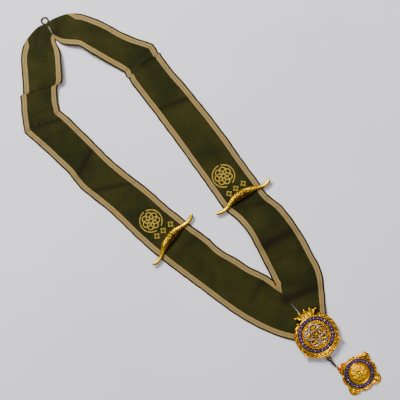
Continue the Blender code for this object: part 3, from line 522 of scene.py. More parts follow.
def ribbon_finish(sizes, olive, tan):
    """Olive grosgrain with a dark selvage and a tan stripe along each edge."""
    cloth = Finish("ribbon_weave", 0.92, Specular_IOR_Level=0.06)
    inner = cloth.attribute("inner_mm")
    outer = cloth.attribute("outer_mm")
    along = cloth.attribute("along_mm")
    crease = cloth.attribute("crease")
    slit = cloth.attribute("slit")
    selvage = sizes.selvage / MM
    stripe_end = selvage + sizes.stripe / MM
    patch = cloth.noise(55.0, 3.0)
    fine = cloth.noise(900.0, 3.0)
    edge = inner.least(outer) + (cloth.noise(260.0, 2.0) - 0.5) * 0.5
    past_selvage = edge.ramp(selvage - 0.25, selvage + 0.25)
    in_stripe = past_selvage * (1 - edge.ramp(stripe_end - 0.2, stripe_end + 0.2))
    past_stripe = edge.ramp(stripe_end - 0.1, stripe_end + 0.3)
    in_line = past_stripe * (1 - edge.ramp(stripe_end + 0.6, stripe_end + 1.3))
    middle = (selvage + stripe_end) / 2
    past_middle = edge.ramp(middle + 0.15, middle + 0.65)
    in_middle = edge.ramp(middle - 0.65, middle - 0.15) * (1 - past_middle)
    field = cloth.mix(patch.ramp(0.35, 0.68), olive, FIELD_WORN)
    field = cloth.mix(cloth.noise(21.0, 2.0).ramp(0.42, 0.66), field, FIELD_DEEP)
    stripe = cloth.mix(cloth.noise(70.0, 2.0).ramp(0.46, 0.70), tan, STRIPE_WARM)
    stripe = cloth.mix(cloth.noise(95.0, 2.0).ramp(0.55, 0.75) * 0.7, stripe, STRIPE_GREY)
    stripe = cloth.mix(in_middle * 0.55, stripe, STRIPE_MIDDLE)
    colour = cloth.mix(in_stripe, field, stripe)
    colour = cloth.mix(in_line * 0.9, colour, STRIPE_EDGE)
    colour = cloth.mix(1 - past_selvage, colour, SELVAGE_TONE)
    colour = cloth.mix(fine.ramp(0.40, 0.75) * 0.16, colour, LINT_TONE)
    # Painted shade along the folds, weaker on the stripe
    colour = cloth.mix(crease * (1 - in_stripe * 0.75) * 0.85, colour, FOLD_SHADE)
    colour = cloth.mix(slit, colour, SLIT_TONE)
    cloth.colour(colour)
    ribs = (along * (2 * math.pi / RIB_PITCH)).sine() * 0.5
    over_under = (along * (math.pi / RIB_PITCH)).sine()
    warp = (inner * (2 * math.pi / WARP_PITCH)).sine() * over_under * 0.3
    cloth.bump(ribs + warp + fine * 0.7, 0.10 * MM, 0.55)
    return cloth.material


def gilt_finish(name, colour, shade, tint, roughness):
    """Worn gilding, orange and brown in its hollows from tarnish and painted shade."""
    gilt = Finish(name, roughness, 1.0)
    hollow = gilt.attribute("hollow")
    cloudy = gilt.noise(210.0, 3.0)
    warm = gilt.noise(120.0, 2.0)
    # Tarnish and painted shade: the hollows and cloudy patches darken towards the shade colour
    deep = (hollow * 1.25 + (cloudy - 0.5) * 0.45).ramp(0.50, 0.88)
    base = gilt.mix(warm.ramp(0.48, 0.72) * 0.55, colour, tint)
    gilt.colour(gilt.mix(deep, base, shade))
    gilt.rough(deep * 0.34 + cloudy * 0.16 + (roughness - 0.05))
    gilt.bump(gilt.noise(1500.0, 3.0) + gilt.cells(900.0) * 0.6, 0.03 * MM, 0.4)
    return gilt.material


def thread_finish(name, light, dark):
    """Twisted thread with darker turns."""
    thread = Finish(name, 0.52, 0.25, Sheen_Weight=0.2)
    shade = thread.noise(1100.0, 2.0)
    wide = thread.noise(160.0, 2.0)
    mixed = thread.mix(shade.ramp(0.35, 0.7) * 0.6, light, dark)
    thread.colour(thread.mix(wide.ramp(0.55, 0.75) * 0.4, mixed, dark))
    thread.bump(thread.noise(2600.0, 2.0), 0.04 * MM, 0.6)
    return thread.material


def enamel_finish(name, base, deep, pale):
    """Glassy enamel whose colour clouds between two tones."""
    enamel = Finish(name, 0.16, 0.0, Specular_IOR_Level=0.14)
    cloud = enamel.noise(60.0, 2.0)
    grain = enamel.noise(420.0, 3.0)
    colour = enamel.mix(cloud.ramp(0.42, 0.60), base, deep)
    enamel.colour(enamel.mix(grain.ramp(0.58, 0.80) * 0.5, colour, pale))
    enamel.rough(grain * 0.2 + 0.10)
    enamel.bump(grain, 0.05 * MM, 0.35)
    return enamel.material


def wire_finish(name, light, dark, roughness):
    """Tarnished wire with brighter worn places."""
    wire = Finish(name, roughness, 0.9)
    worn = wire.noise(330.0, 3.0)
    wire.colour(wire.mix(worn.ramp(0.45, 0.70), dark, light))
    wire.rough(worn * -0.2 + (roughness + 0.1))
    wire.bump(wire.noise(1800.0, 2.0), 0.04 * MM, 0.5)
    return wire.material


def floor_finish():
    """Plain pale table."""
    table = Finish("pale_table", 0.75, 0.0, Specular_IOR_Level=0.25)
    cloud = table.noise(5.0, 3.0)
    table.colour(table.mix(cloud.ramp(0.3, 0.7), (0.615, 0.600, 0.640), (0.660, 0.645, 0.680)))
    table.bump(table.noise(400.0, 2.0), 0.05 * MM, 0.2)
    return table.material


# Meshes

def mesh_object(name, points, faces, finish, sharp=50, flat=False):
    """A mesh object at the origin, with its place in its points."""
    mesh = bpy.data.meshes.new(name)
    mesh.from_pydata([tuple(point) for point in points], [], [tuple(face) for face in faces])
    mesh.validate()
    thing = bpy.data.objects.new(name, mesh)
    bpy.context.scene.collection.objects.link(thing)
    mesh.materials.append(finish)
    if not flat:
        mesh.shade_smooth()
        mesh.set_sharp_from_angle(angle=math.radians(sharp))
    return thing


def set_values(thing, name, values):
    """Store one number for each point."""
    made = thing.data.attributes.new(name, "FLOAT", "POINT")
    made.data.foreach_set("value", np.asarray(values, dtype=np.float32))


def mark_hollows(thing, gain, rounds, extra=0.0):
    """Store how deeply each point lies in the hollows, 0 on crests and 1 in crevices, which the gilt
    finishes darken as tarnish and painted shade.
    """
    mesh = thing.data
    count = len(mesh.vertices)
    place = np.zeros(count * 3)
    mesh.vertices.foreach_get("co", place)
    place = place.reshape(-1, 3)
    normal = np.zeros(count * 3)
    mesh.vertices.foreach_get("normal", normal)
    normal = normal.reshape(-1, 3)
    ends = np.zeros(len(mesh.edges) * 2, dtype=np.int32)
    mesh.edges.foreach_get("vertices", ends)
    first, second = ends.reshape(-1, 2).T
    run = place[second] - place[first]
    size = np.maximum(np.linalg.norm(run, axis=1), 1e-9)
    bend = np.zeros(count)
    share = np.zeros(count)
    np.add.at(bend, first, np.einsum("ij,ij->i", normal[first], run) / size)
    np.add.at(bend, second, -np.einsum("ij,ij->i", normal[second], run) / size)
    np.add.at(share, first, 1)
    np.add.at(share, second, 1)
    share = np.maximum(share, 1)
    bend /= share
    for _ in range(rounds):
        spread = np.zeros(count)
        np.add.at(spread, first, bend[second])
        np.add.at(spread, second, bend[first])
        bend = 0.5 * bend + 0.5 * spread / share
    set_values(thing, "hollow", np.clip(0.42 + gain * bend + extra, 0.0, 1.0))


def wrap_faces(levels, steps, closed=False):
    """Quads between rings of points, outwards when the rings run from the top to the back."""
    faces = []
    for level in range(levels if closed else levels - 1):
        here = level * steps
        there = (level + 1) % levels * steps
        for step in range(steps):
            following = (step + 1) % steps
            faces.append((here + step, there + step, there + following, here + following))
    return faces


def grid_rim(rows, columns):
    """The indices of a grid's outermost points, in order round it."""
    rim = [row * columns for row in range(rows)]
    rim += [(rows - 1) * columns + column for column in range(1, columns)]
    rim += [row * columns + columns - 1 for row in range(rows - 2, -1, -1)]
    rim += [column for column in range(columns - 2, 0, -1)]
    return rim


def face_outwards(thing):
    """Turn all faces of a closed mesh outwards."""
    mesh = thing.data
    mesh.calc_loop_triangles()
    place = np.zeros(len(mesh.vertices) * 3)
    mesh.vertices.foreach_get("co", place)
    place = place.reshape(-1, 3) - place.reshape(-1, 3).mean(axis=0)
    corners = np.zeros(len(mesh.loop_triangles) * 3, dtype=np.int32)
    mesh.loop_triangles.foreach_get("vertices", corners)
    a, b, c = (place[part] for part in corners.reshape(-1, 3).T)
    if np.einsum("ij,ij->i", a, np.cross(b, c)).sum() < 0:
        mesh.flip_normals()
    return thing


def heading(angle):
    """The level direction at an angle, as x and y."""
    return np.array((math.cos(angle), math.sin(angle)))


def turned_relief(name, centre, base, turn, radii, heights, steps, finish, closed=False, sharp=50):
    """A body turned about +Z from rings whose radius and height are arrays over the angle."""
    angle = 2 * math.pi * np.arange(steps) / steps
    corners = []
    for radius, height in zip(radii, heights):
        radius = np.broadcast_to(radius, angle.shape)
        height = np.broadcast_to(height, angle.shape)
        x = centre[0] + radius * np.cos(angle + turn)
        y = centre[1] + radius * np.sin(angle + turn)
        corners.append(np.stack((x, y, base + height), axis=1))
    points = np.concatenate(corners)
    levels = len(corners)
    faces = wrap_faces(levels, steps, closed=closed)
    if not closed:
        top = (centre[0], centre[1], corners[0][:, 2].mean())
        back = (centre[0], centre[1], corners[-1][:, 2].mean())
        points = np.concatenate((points, [top, back]))
        last = (levels - 1) * steps
        for step in range(steps):
            following = (step + 1) % steps
            faces.append((len(points) - 2, step, following))
            faces.append((len(points) - 1, last + following, last + step))
    return face_outwards(mesh_object(name, points, faces, finish, sharp))


def tube(name, path, wire, sides, finish, flat=1.0, up=UP):
    """A closed loop of wire along a path of points, round or pressed towards up."""
    points = [Vector(point) for point in path]
    count = len(points)
    corners = []
    for index, point in enumerate(points):
        forward = (points[(index + 1) % count] - points[index - 1]).normalized()
        side = up.cross(forward).normalized()
        top = forward.cross(side)
        for step in range(sides):
            around = -2 * math.pi * (step + 0.5) / sides
            reach = side * math.cos(around) + top * flat * math.sin(around)
            corners.append(point + reach * wire / 2)
    faces = wrap_faces(count, sides, closed=True)
    return face_outwards(mesh_object(name, corners, faces, finish))


def hold(piece, slot, *nodes):
    """The piece rides on the one body and stands for its nodes, which it hides; slot is not used."""
    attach(piece, BODY)
    if nodes:
        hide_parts(*nodes)
    return piece


def sizes_now():
    return bpy.context.scene.chain_sizes


def colours_now():
    return bpy.context.scene.chain_colours


def rgb(value):
    return tuple(value)


def finish_named(name):
    return bpy.data.materials[name]


# Cloth

def from_photo(x, y):
    """Where a pixel of the photograph lies on the table, in the frame's metres."""
    right, down = np.array((x, y)) - MEDAL_PIXEL
    return (right * PHOTO_RIGHT - down * PHOTO_UP) * MM + MEDAL_CENTRE


def photo_ends(line):
    """Where both ends of a line between two pixels lie on the table."""
    return from_photo(line.x0, line.y0), from_photo(line.x1, line.y1)


def smooth_fall(distance, flat, reach):
    """1 up to flat, 0 from reach on, and an even slope between."""
    share = np.clip((reach - distance) / (reach - flat), 0.0, 1.0)
    return share * share * (3 - 2 * share)


def smooth_read(knots, table, slopes, value):
    """A table's row at a value along its knots, on a smooth curve, and the row it is at."""
    index = min(np.searchsorted(knots, value, side="right") - 1, len(knots) - 2)
    span = knots[index + 1] - knots[index]
    s = (value - knots[index]) / span
    start = (1 + 2 * s) * (1 - s) ** 2 * table[index] + s * (1 - s) ** 2 * span * slopes[index]
    end = s * s * (3 - 2 * s) * table[index + 1] + s * s * (s - 1) * span * slopes[index + 1]
    return start + end, index + s


def smooth_rows(rows, count):
    """Sections read evenly along a smooth curve through table rows, and the row each is at."""
    table = np.array(rows, dtype=float)
    places = table[:, :2] * (COLLAR_WIDTH, COLLAR_LENGTH)
    spans = np.hypot(*np.diff(places, axis=0).T)
    knots = np.concatenate(([0.0], np.cumsum(spans)))
    slopes = np.gradient(table, knots, axis=0)
    read = []
    at = []
    for along in np.linspace(0.0, knots[-1], count):
        row, place = smooth_read(knots, table, slopes, along)
        read.append(Section(*row))
        at.append(place)
    return read, np.array(at), knots[-1]


def section_line(row):
    """The middle of a section and the vector from its inner edge to its outer one."""
    centre = np.array((row.x * COLLAR_WIDTH, row.y * COLLAR_LENGTH)) + MEDAL_CENTRE
    turn = math.radians(row.turn)
    across = row.across * RIBBON_WIDTH * heading(turn)
    return centre, across


def run_distance(places, start, end):
    """How far places lie from a straight run."""
    run = end - start
    share = np.clip((places - start) @ run / (run @ run), 0.0, 1.0)
    return np.linalg.norm(places - start - share[..., None] * run, axis=-1)


def outline_distance(places, outline):
    """How far places lie outside a closed outline, or 0 inside it."""
    nearest = np.full(places.shape[:-1], np.inf)
    inside = np.zeros(places.shape[:-1], dtype=bool)
    for start, end in zip(outline, np.roll(outline, -1, axis=0)):
        nearest = np.minimum(nearest, run_distance(places, start, end))
        if start[1] != end[1]:
            spans = (start[1] > places[..., 1]) != (end[1] > places[..., 1])
            run, rise = end - start
            crossing = start[0] + (places[..., 1] - start[1]) * run / rise
            inside ^= spans & (places[..., 0] < crossing)
    return np.where(inside, 0.0, nearest)


Laid = namedtuple("Laid", "places height width at along forward outward")


def cloth_grid(rows, columns, count, trims, wires, under=None):
    """Places and heights of one run of ribbon, as the part lays it."""
    sections, at, length = smooth_rows(rows, count)
    lines = [section_line(row) for row in sections]
    centres = np.array([line[0] for line in lines])
    across = np.array([line[1] for line in lines])
    width = np.linalg.norm(across, axis=1)
    before = centres[np.maximum(np.arange(count) - 1, 0)]
    after = centres[np.minimum(np.arange(count) + 1, count - 1)]
    forward = np.stack((-across[:, 1], across[:, 0]), axis=1) / width[:, None]
    forward *= np.sign(np.einsum("ij,ij->i", forward, after - before))[:, None]
    shift = np.zeros(count)
    shift[0] = trims[0]
    shift[-1] = -trims[1]
    u = np.asarray(columns)
    places = centres[:, None] + 0.5 * u[None, :, None] * across[:, None]
    places = places + (forward * shift[:, None])[:, None]
    inner = np.array([row.inner for row in sections])[:, None]
    middle = np.array([row.middle for row in sections])[:, None]
    outer = np.array([row.outer for row in sections])[:, None]
    bend = (inner + outer) / 2 - middle
    height = np.maximum(RIBBON_LIFT * (middle + (outer - inner) / 2 * u + bend * u * u), 0.0)
    for start, end, thickness in wires:
        near = smooth_fall(run_distance(places, start, end), HUMP_FLAT, HUMP_REACH)
        height = np.maximum(height, (thickness + GAP) * near)
    if under is not None:
        height = height + LAYER * smooth_fall(outline_distance(places, under), HUMP_FLAT, HUMP_REACH)
    along = np.linspace(0.0, length, count)
    return Laid(places, height, width, at, along, forward, across / width[:, None])


def grid_outline(places):
    """The closed outline of a run of ribbon, as seen from above."""
    return np.concatenate((places[:, 0], places[-1, 1:], places[-2::-1, -1], places[0, -2:0:-1]))


def edge_columns(cell):
    """Places across the ribbon, from -1 to 1, closer together at its edges."""
    count = round(RIBBON_WIDTH / cell)
    even = np.linspace(-0.94, 0.94, count - 3)
    rim = np.array((0.965, 0.982, 0.993, 1.0))
    return np.concatenate((-rim[::-1], even, rim))


def fold_marks(places):
    """How far folds and unevenness lift the cloth, and how strongly painted shade darkens the folds."""
    lift = np.zeros(places.shape[:-1])
    dark = np.zeros(places.shape[:-1])
    for fold in CREASES:
        near = np.exp(-(run_distance(places, *photo_ends(fold)) / (fold.width * MM)) ** 2)
        lift += fold.depth * MM * near
        dark = np.maximum(dark, fold.dark * near)
    x, y = places[..., 0] / MM, places[..., 1] / MM
    lift += 0.10 * MM * np.sin(x / 6.1 + 1.3 * np.sin(y / 17.0)) * np.sin(y / 8.3 + 0.7)
    lift += 0.07 * MM * np.sin((x + y) / 3.7 + 2.0) * np.sin((x - y) / 5.9)
    return lift, dark


def lap_over(lap, laid, height, keep):
    """The places and heights of cloth that steps up at a lap and slides sideways there."""
    places = laid.places
    start, end = photo_ends(lap)
    line = (end - start) / np.linalg.norm(end - start)
    normal = np.array((-line[1], line[0]))
    middle = places[:, places.shape[1] // 2]
    normal *= np.sign(normal @ laid.forward[np.argmin(run_distance(middle, start, end))])
    past = (places - start) @ normal / MM
    fade = np.clip(1 - np.abs(past) / lap.fade, 0.0, 1.0) ** 1.5
    step = np.where(past < 0, np.clip(1 + past / (3 * lap.fade), 0, 1), 0.0)
    slide = lap.slide * MM * fade * np.where(past < 0, -1.0, 1.0)
    places = places + (slide[..., None] * laid.outward[:, None]) * keep[..., None]
    return places, height + lap.step * MM * step


def layered_mesh(name, places, top, low, finish):
    """Two layers of a grid of points, joined round their edges, with all faces outwards."""
    rows, wide = top.shape
    layer = top.size
    points = np.concatenate([
        np.concatenate((places, level[..., None]), axis=2).reshape(-1, 3) for level in (top, low)
    ])
    corner = (np.arange(rows - 1)[:, None] * wide + np.arange(wide - 1)).ravel()
    quads = np.stack((corner, corner + 1, corner + wide + 1, corner + wide), axis=1)
    a, b, c = points[quads[0, :3]]
    if np.cross(b - a, c - a)[2] < 0:
        quads = quads[:, ::-1]
    faces = quads.tolist() + (quads[:, ::-1] + layer).tolist()
    rim = grid_rim(rows, wide)
    x, y = points[rim, :2].T
    spin = np.sum(x * np.roll(y, -1) - np.roll(x, -1) * y)
    for start, end in zip(rim, rim[1:] + rim[:1]):
        quad = (start, layer + start, layer + end, end)
        faces.append(quad if spin > 0 else quad[::-1])
    return mesh_object(name, points, faces, finish, sharp=75)


def lay_ribbon(name, node, key, rows, trims, wires, under, finish):
    """One run of ribbon as a fine sheet, with its folds, laps and rounded edges."""
    cell = sizes_now().cell
    _, _, length = smooth_rows(rows, 2)
    count = round(length / cell) + 1
    columns = edge_columns(cell)
    laid = cloth_grid(rows, columns, count, trims, wires, under)
    places, along = laid.places, laid.along
    inner = (columns[None, :] + 1) / 2 * laid.width[:, None]
    outer = laid.width[:, None] - inner
    # dark is the painted shade along the folds
    lift, dark = fold_marks(places)
    tip = np.minimum(np.arange(count), np.arange(count)[::-1])[:, None]
    keep = np.clip(tip / 4.0, 0.0, 1.0)
    height = np.maximum(laid.height + lift * keep, 0.02 * MM)
    if key in LAPS:
        places, height = lap_over(LAPS[key], laid, height, keep)
    wobble = 0.22 * MM * np.sin(along / MM / 2.9 + 1.7 * np.sin(along / MM / 11.0))
    sway = np.sign(columns) * (np.abs(columns) > 0.9)
    sideways = (wobble[:, None] * sway[None, :])[..., None] * laid.outward[:, None]
    places = places + sideways * keep[..., None] * 0.6
    rounding = np.clip(np.minimum(inner, outer) / (0.9 * MM), 0.0, 1.0)
    thickness = RIBBON_THICKNESS * (0.30 + 0.70 * np.sqrt(1 - (1 - rounding) ** 2))
    low = height + 0.12 * (RIBBON_THICKNESS - thickness)
    cloth = layered_mesh(name, places, height + thickness, low, finish)
    tucks = TUCKS[key]
    tuck_in = np.interp(laid.at, [tuck.row for tuck in tucks], [tuck.inner for tuck in tucks])
    tuck_out = np.interp(laid.at, [tuck.row for tuck in tucks], [tuck.outer for tuck in tucks])
    slit = np.zeros(height.shape)
    for line in GLINTS.get(key, ()):
        away = run_distance(places, *photo_ends(line))
        slit = np.maximum(slit, np.exp(-(away / GLINT_WIDTH) ** 2))
    for label, values in (
        ("inner_mm", inner / MM + tuck_in[:, None]), ("outer_mm", outer / MM + tuck_out[:, None]),
        ("along_mm", np.broadcast_to(along[:, None] / MM, height.shape)),
        ("crease", dark), ("slit", slit),
    ):
        set_values(cloth, label, np.tile(values.ravel(), 2))
    hold(cloth, "ribbon", node)
    flat = (RIBBON_WIDTH, float(length))
    area = min(float(np.sum(laid.width) * length / count), 0.999 * flat[0] * flat[1])


def seat_on_strand(rows, seat):
    """Where a bar crosses a strand, and the direction that it points in, in radians."""
    fine, _, _ = smooth_rows(rows, 200)
    row = min(fine, key=lambda each: abs(each.y - seat.y))
    centre, across = section_line(row)
    toward_right = across if across[0] > 0 else -across
    return centre, math.atan2(toward_right[1], toward_right[0]) + math.radians(seat.lean)


def pin_ends(centre, angle, span):
    """The two legs of a pin, as seen from above."""
    half = 0.5 * span * heading(angle)
    return centre - half, centre + half


def make_cloth():
    """The four runs of ribbon."""
    finish = finish_named("ribbon_weave")
    left_pin = pin_ends(*seat_on_strand(STRAND_LEFT, BAR_SEATS["left"]), BAR_PIN_SPAN)
    right_pin = pin_ends(*seat_on_strand(STRAND_RIGHT, BAR_SEATS["right"]), BAR_PIN_SPAN)
    medal_pin = pin_ends(MEDAL_CENTRE + (0.0, MEDAL_PIN_RISE), 0.0, MEDAL_PIN_SPAN)
    apex_centre, apex_across = section_line(APEX)
    apex_end = apex_centre + apex_across / 2
    ring_centre = apex_end + NECK_RING_REACH * apex_across / np.hypot(*apex_across)
    ring_wires = [(apex_end, ring_centre, NECK_RING_WIRE)]
    left_wires = [(*left_pin, PIN_WIRE), (*medal_pin, PIN_WIRE)]
    right_wires = [(*right_pin, PIN_WIRE), (*medal_pin, PIN_WIRE)]
    seam, slit = GAP / 2, 0.04 * MM
    _, _, length = smooth_rows(STRAND_LEFT, 2)
    coarse = cloth_grid(
        STRAND_LEFT, np.linspace(-1, 1, CELLS_ACROSS + 1), round(length / CELL_LENGTH) + 1,
        (seam, 0.0), left_wires,
    )
    under = grid_outline(coarse.places)
    neck, strand = (slit, seam), (seam, 0.0)
    for run in (
        ("neck_cloth_left", "neck_band_left", "neck_left", NECK_LEFT, neck, ring_wires, None),
        ("neck_cloth_right", "neck_band_right", "neck_right", NECK_RIGHT, neck, ring_wires, None),
        ("strand_cloth_left", "ribbon_left", "strand_left", STRAND_LEFT, strand, left_wires, None),
        ("strand_cloth_right", "ribbon_right", "strand_right", STRAND_RIGHT, strand, right_wires, under),
    ):
        lay_ribbon(*run, finish)


# Thread work

def cloth_surface():
    """A search tree over the four cloths, to set thread down on them."""
    points = []
    faces = []
    for name in ("neck_cloth_left", "neck_cloth_right", "strand_cloth_left", "strand_cloth_right"):
        mesh = bpy.data.objects[name].data
        first = len(points)
        points += [vertex.co.copy() for vertex in mesh.vertices]
        faces += [[first + index for index in face.vertices] for face in mesh.polygons]
    return BVHTree.FromPolygons(points, faces)


def lay_down(surface, place, lift):
    """The point on the cloth at a place, lifted a little."""
    found = surface.ray_cast(Vector((place[0], place[1], 0.05)), Vector((0, 0, -1)))
    height = found[0].z if found[0] is not None else 0.0
    return (place[0], place[1], height + lift)


def thread_group():
    """A node group that sets short slanted threads along a curve."""
    group = bpy.data.node_groups.new("threads_on_path", "GeometryNodeTree")
    face = group.interface
    face.new_socket("Geometry", in_out="INPUT", socket_type="NodeSocketGeometry")
    for label, value in (
        ("Spacing", 0.4 * MM), ("Length", 1.3 * MM), ("Thickness", 0.4 * MM), ("Slant", 1.1),
        ("Unevenness", 0.12),
    ):
        face.new_socket(label, in_out="INPUT", socket_type="NodeSocketFloat").default_value = value
    face.new_socket("Seed", in_out="INPUT", socket_type="NodeSocketInt").default_value = THREAD_SEED
    face.new_socket("Material", in_out="INPUT", socket_type="NodeSocketMaterial")
    face.new_socket("Geometry", in_out="OUTPUT", socket_type="NodeSocketGeometry")
    tree = Tree(group)
    given = tree.add("NodeGroupInput").outputs
    points = tree.add("GeometryNodeCurveToPoints", {"mode": "LENGTH"},
                      {"Curve": given["Geometry"], "Length": given["Spacing"]})
    ball = tree.add("GeometryNodeMeshUVSphere", None, {"Segments": 6, "Rings": 5, "Radius": 0.5})
    size = tree.add("ShaderNodeCombineXYZ", None,
                    {"X": given["Length"], "Y": given["Thickness"], "Z": given["Thickness"]})
    shaped = tree.add("GeometryNodeTransform", None,
                      {"Geometry": ball.outputs["Mesh"], "Scale": size.outputs[0]})
    facing = tree.add("FunctionNodeAlignRotationToVector", {"axis": "X", "pivot_axis": "Z"},
                      {"Vector": points.outputs["Tangent"]})
    uneven = tree.add("FunctionNodeRandomValue", {"data_type": "FLOAT"})
    jitter = tree.out(uneven, 1)
    tree.feed(uneven.inputs[2], -1.0)
    tree.feed(uneven.inputs[3], 1.0)
    tree.feed(uneven.inputs["Seed"], given["Seed"])
    lean = jitter * Value(tree, given["Unevenness"]) + Value(tree, given["Slant"])
    twist = tree.add("ShaderNodeCombineXYZ", None, {"Z": lean})
    turn = tree.add("FunctionNodeEulerToRotation", None, {"Euler": twist.outputs[0]})
    turned = tree.add("FunctionNodeRotateRotation", {"rotation_space": "LOCAL"},
                      {"Rotation": facing.outputs[0], "Rotate By": turn.outputs[0]})
    placed = tree.add("GeometryNodeInstanceOnPoints", None, {
        "Points": points.outputs["Points"], "Instance": shaped.outputs["Geometry"],
        "Rotation": turned.outputs[0],
    })
    real = tree.add("GeometryNodeRealizeInstances", None, {"Geometry": placed.outputs["Instances"]})
    smooth = tree.add("GeometryNodeSetShadeSmooth", None, {"Geometry": real.outputs["Geometry"]})
    dressed = tree.add("GeometryNodeSetMaterial", None,
                       {"Geometry": smooth.outputs["Geometry"], "Material": given["Material"]})
    tree.add("NodeGroupOutput", None, {"Geometry": dressed.outputs["Geometry"]})
    return group


def set_input(modifier, label, value):
    """Set a node modifier's input by the identifier of its socket."""
    for item in modifier.node_group.interface.items_tree:
        if item.item_type == "SOCKET" and item.in_out == "INPUT" and item.name == label:
            modifier[item.identifier] = value
            return
    raise RuntimeError(f"the group has no input named {label}")


def grown(name, source, group, values, finish):
    """The plain mesh that a node group makes from an object, which is then removed."""
    step = source.modifiers.new("grow", "NODES")
    step.node_group = group
    for label, value in values.items():
        set_input(step, label, value)
    bpy.context.view_layer.update()
    shown = source.evaluated_get(bpy.context.evaluated_depsgraph_get())
    mesh = bpy.data.meshes.new_from_object(shown)
    mesh.name = name
    if not mesh.polygons:
        raise RuntimeError(f"{name} came out empty")
    source.modifiers.remove(step)
    bpy.data.objects.remove(source, do_unlink=True)
    made = bpy.data.objects.new(name, mesh)
    bpy.context.scene.collection.objects.link(made)
    if not mesh.materials:
        mesh.materials.append(finish)
    return made


def path_curve(name, paths):
    """A curve object with one poly spline for each path."""
    data = bpy.data.curves.new(name, "CURVE")
    data.dimensions = "3D"
    for path, closed in paths:
        spline = data.splines.new("POLY")
        spline.points.add(len(path) - 1)
        for point, place in zip(spline.points, path):
            point.co = (*place, 1.0)
        spline.use_cyclic_u = closed
    thing = bpy.data.objects.new(name, data)
    bpy.context.scene.collection.objects.link(thing)
    return thing


def threads(name, paths, length, spacing, slant, thickness, finish_name):
    """Threads set along paths, as one mesh."""
    group = bpy.data.node_groups.get("threads_on_path") or thread_group()
    finish = finish_named(finish_name)
    values = {
        "Spacing": spacing, "Length": length, "Thickness": thickness, "Slant": slant,
        "Seed": THREAD_SEED, "Material": finish,
    }
    return grown(name, path_curve(name + "_path", paths), group, values, finish)


def strand_angle(rows, place):
    """The direction along a strand at a place, pointing towards the medal."""
    lines = [section_line(row) for row in smooth_rows(rows, 200)[0]]
    _, across = min(lines, key=lambda line: np.hypot(*(line[0] - place)))
    angle = math.atan2(across[1], across[0])
    along = np.array((-math.sin(angle), math.cos(angle)))
    if along[1] > 0:
        along = -along
    return math.atan2(along[1], along[0])


def roundel_paths():
    """A generic roundel: a broken wreath line round an interlaced seven-lobed knot."""
    paths = []
    for start, end in ((18, 158), (172, 342)):
        turn = np.radians(np.arange(start, end + 1, 5))
        paths.append((np.stack((np.cos(turn), np.sin(turn)), axis=1), False))
    t = np.linspace(0, 6 * math.pi, 211)[:-1]
    r = 0.47 + 0.32 * np.cos(7 * t / 3)
    paths.append((np.stack((r * np.cos(t), r * np.sin(t)), axis=1), True))
    return paths


def floret_paths():
    """A small four-petalled floret in outline."""
    turn = np.radians(np.arange(0, 360, 15))
    r = 0.72 + 0.28 * np.cos(4 * turn)
    return [(np.stack((r * np.cos(turn), r * np.sin(turn)), axis=1), True)]


def make_embroidery():
    """The gold roundels and florets on the two strands."""
    surface = cloth_surface()
    sizes = sizes_now()
    for side, rows in (("left", STRAND_LEFT), ("right", STRAND_RIGHT)):
        jobs = [("roundel_" + side, [ROUNDELS[side]], ROUNDEL_RADIUS, roundel_paths(), sizes.stroke)]
        jobs.append(("florets_" + side, FLORETS[side], FLORET_RADIUS, floret_paths(), 0.70 * sizes.stroke))
        for name, motifs, radius, shapes, stroke in jobs:
            paths = []
            for motif in motifs:
                middle = from_photo(motif.x, motif.y)
                lean = strand_angle(rows, middle)
                turn = np.array(((math.cos(lean), -math.sin(lean)), (math.sin(lean), math.cos(lean))))
                for shape, closed in shapes:
                    flat = middle + radius * shape @ turn.T
                    path = [lay_down(surface, place, 0.12 * MM) for place in flat]
                    paths.append((path, closed))
            made = threads(name, paths, stroke, 0.36 * MM, 1.15, sizes.thread, "gold_thread")
            hold(made, "gilt")


def make_stitches():
    """Rows of machine stitches over the mitres and the lap."""
    surface = cloth_surface()
    sizes = sizes_now()
    for name, lines in STITCH_LINES.items():
        paths = []
        for line in lines:
            start, end = photo_ends(line)
            share = np.linspace(0, 1, 40)[:, None]
            flat = start * (1 - share) + end * share
            paths.append(([lay_down(surface, place, 0.04 * MM) for place in flat], False))
        made = threads(name, paths, 1.25 * MM, sizes.stitch_gap, 0.05, 0.30 * MM, "dark_thread")
        hold(made, "ribbon")


# Metal

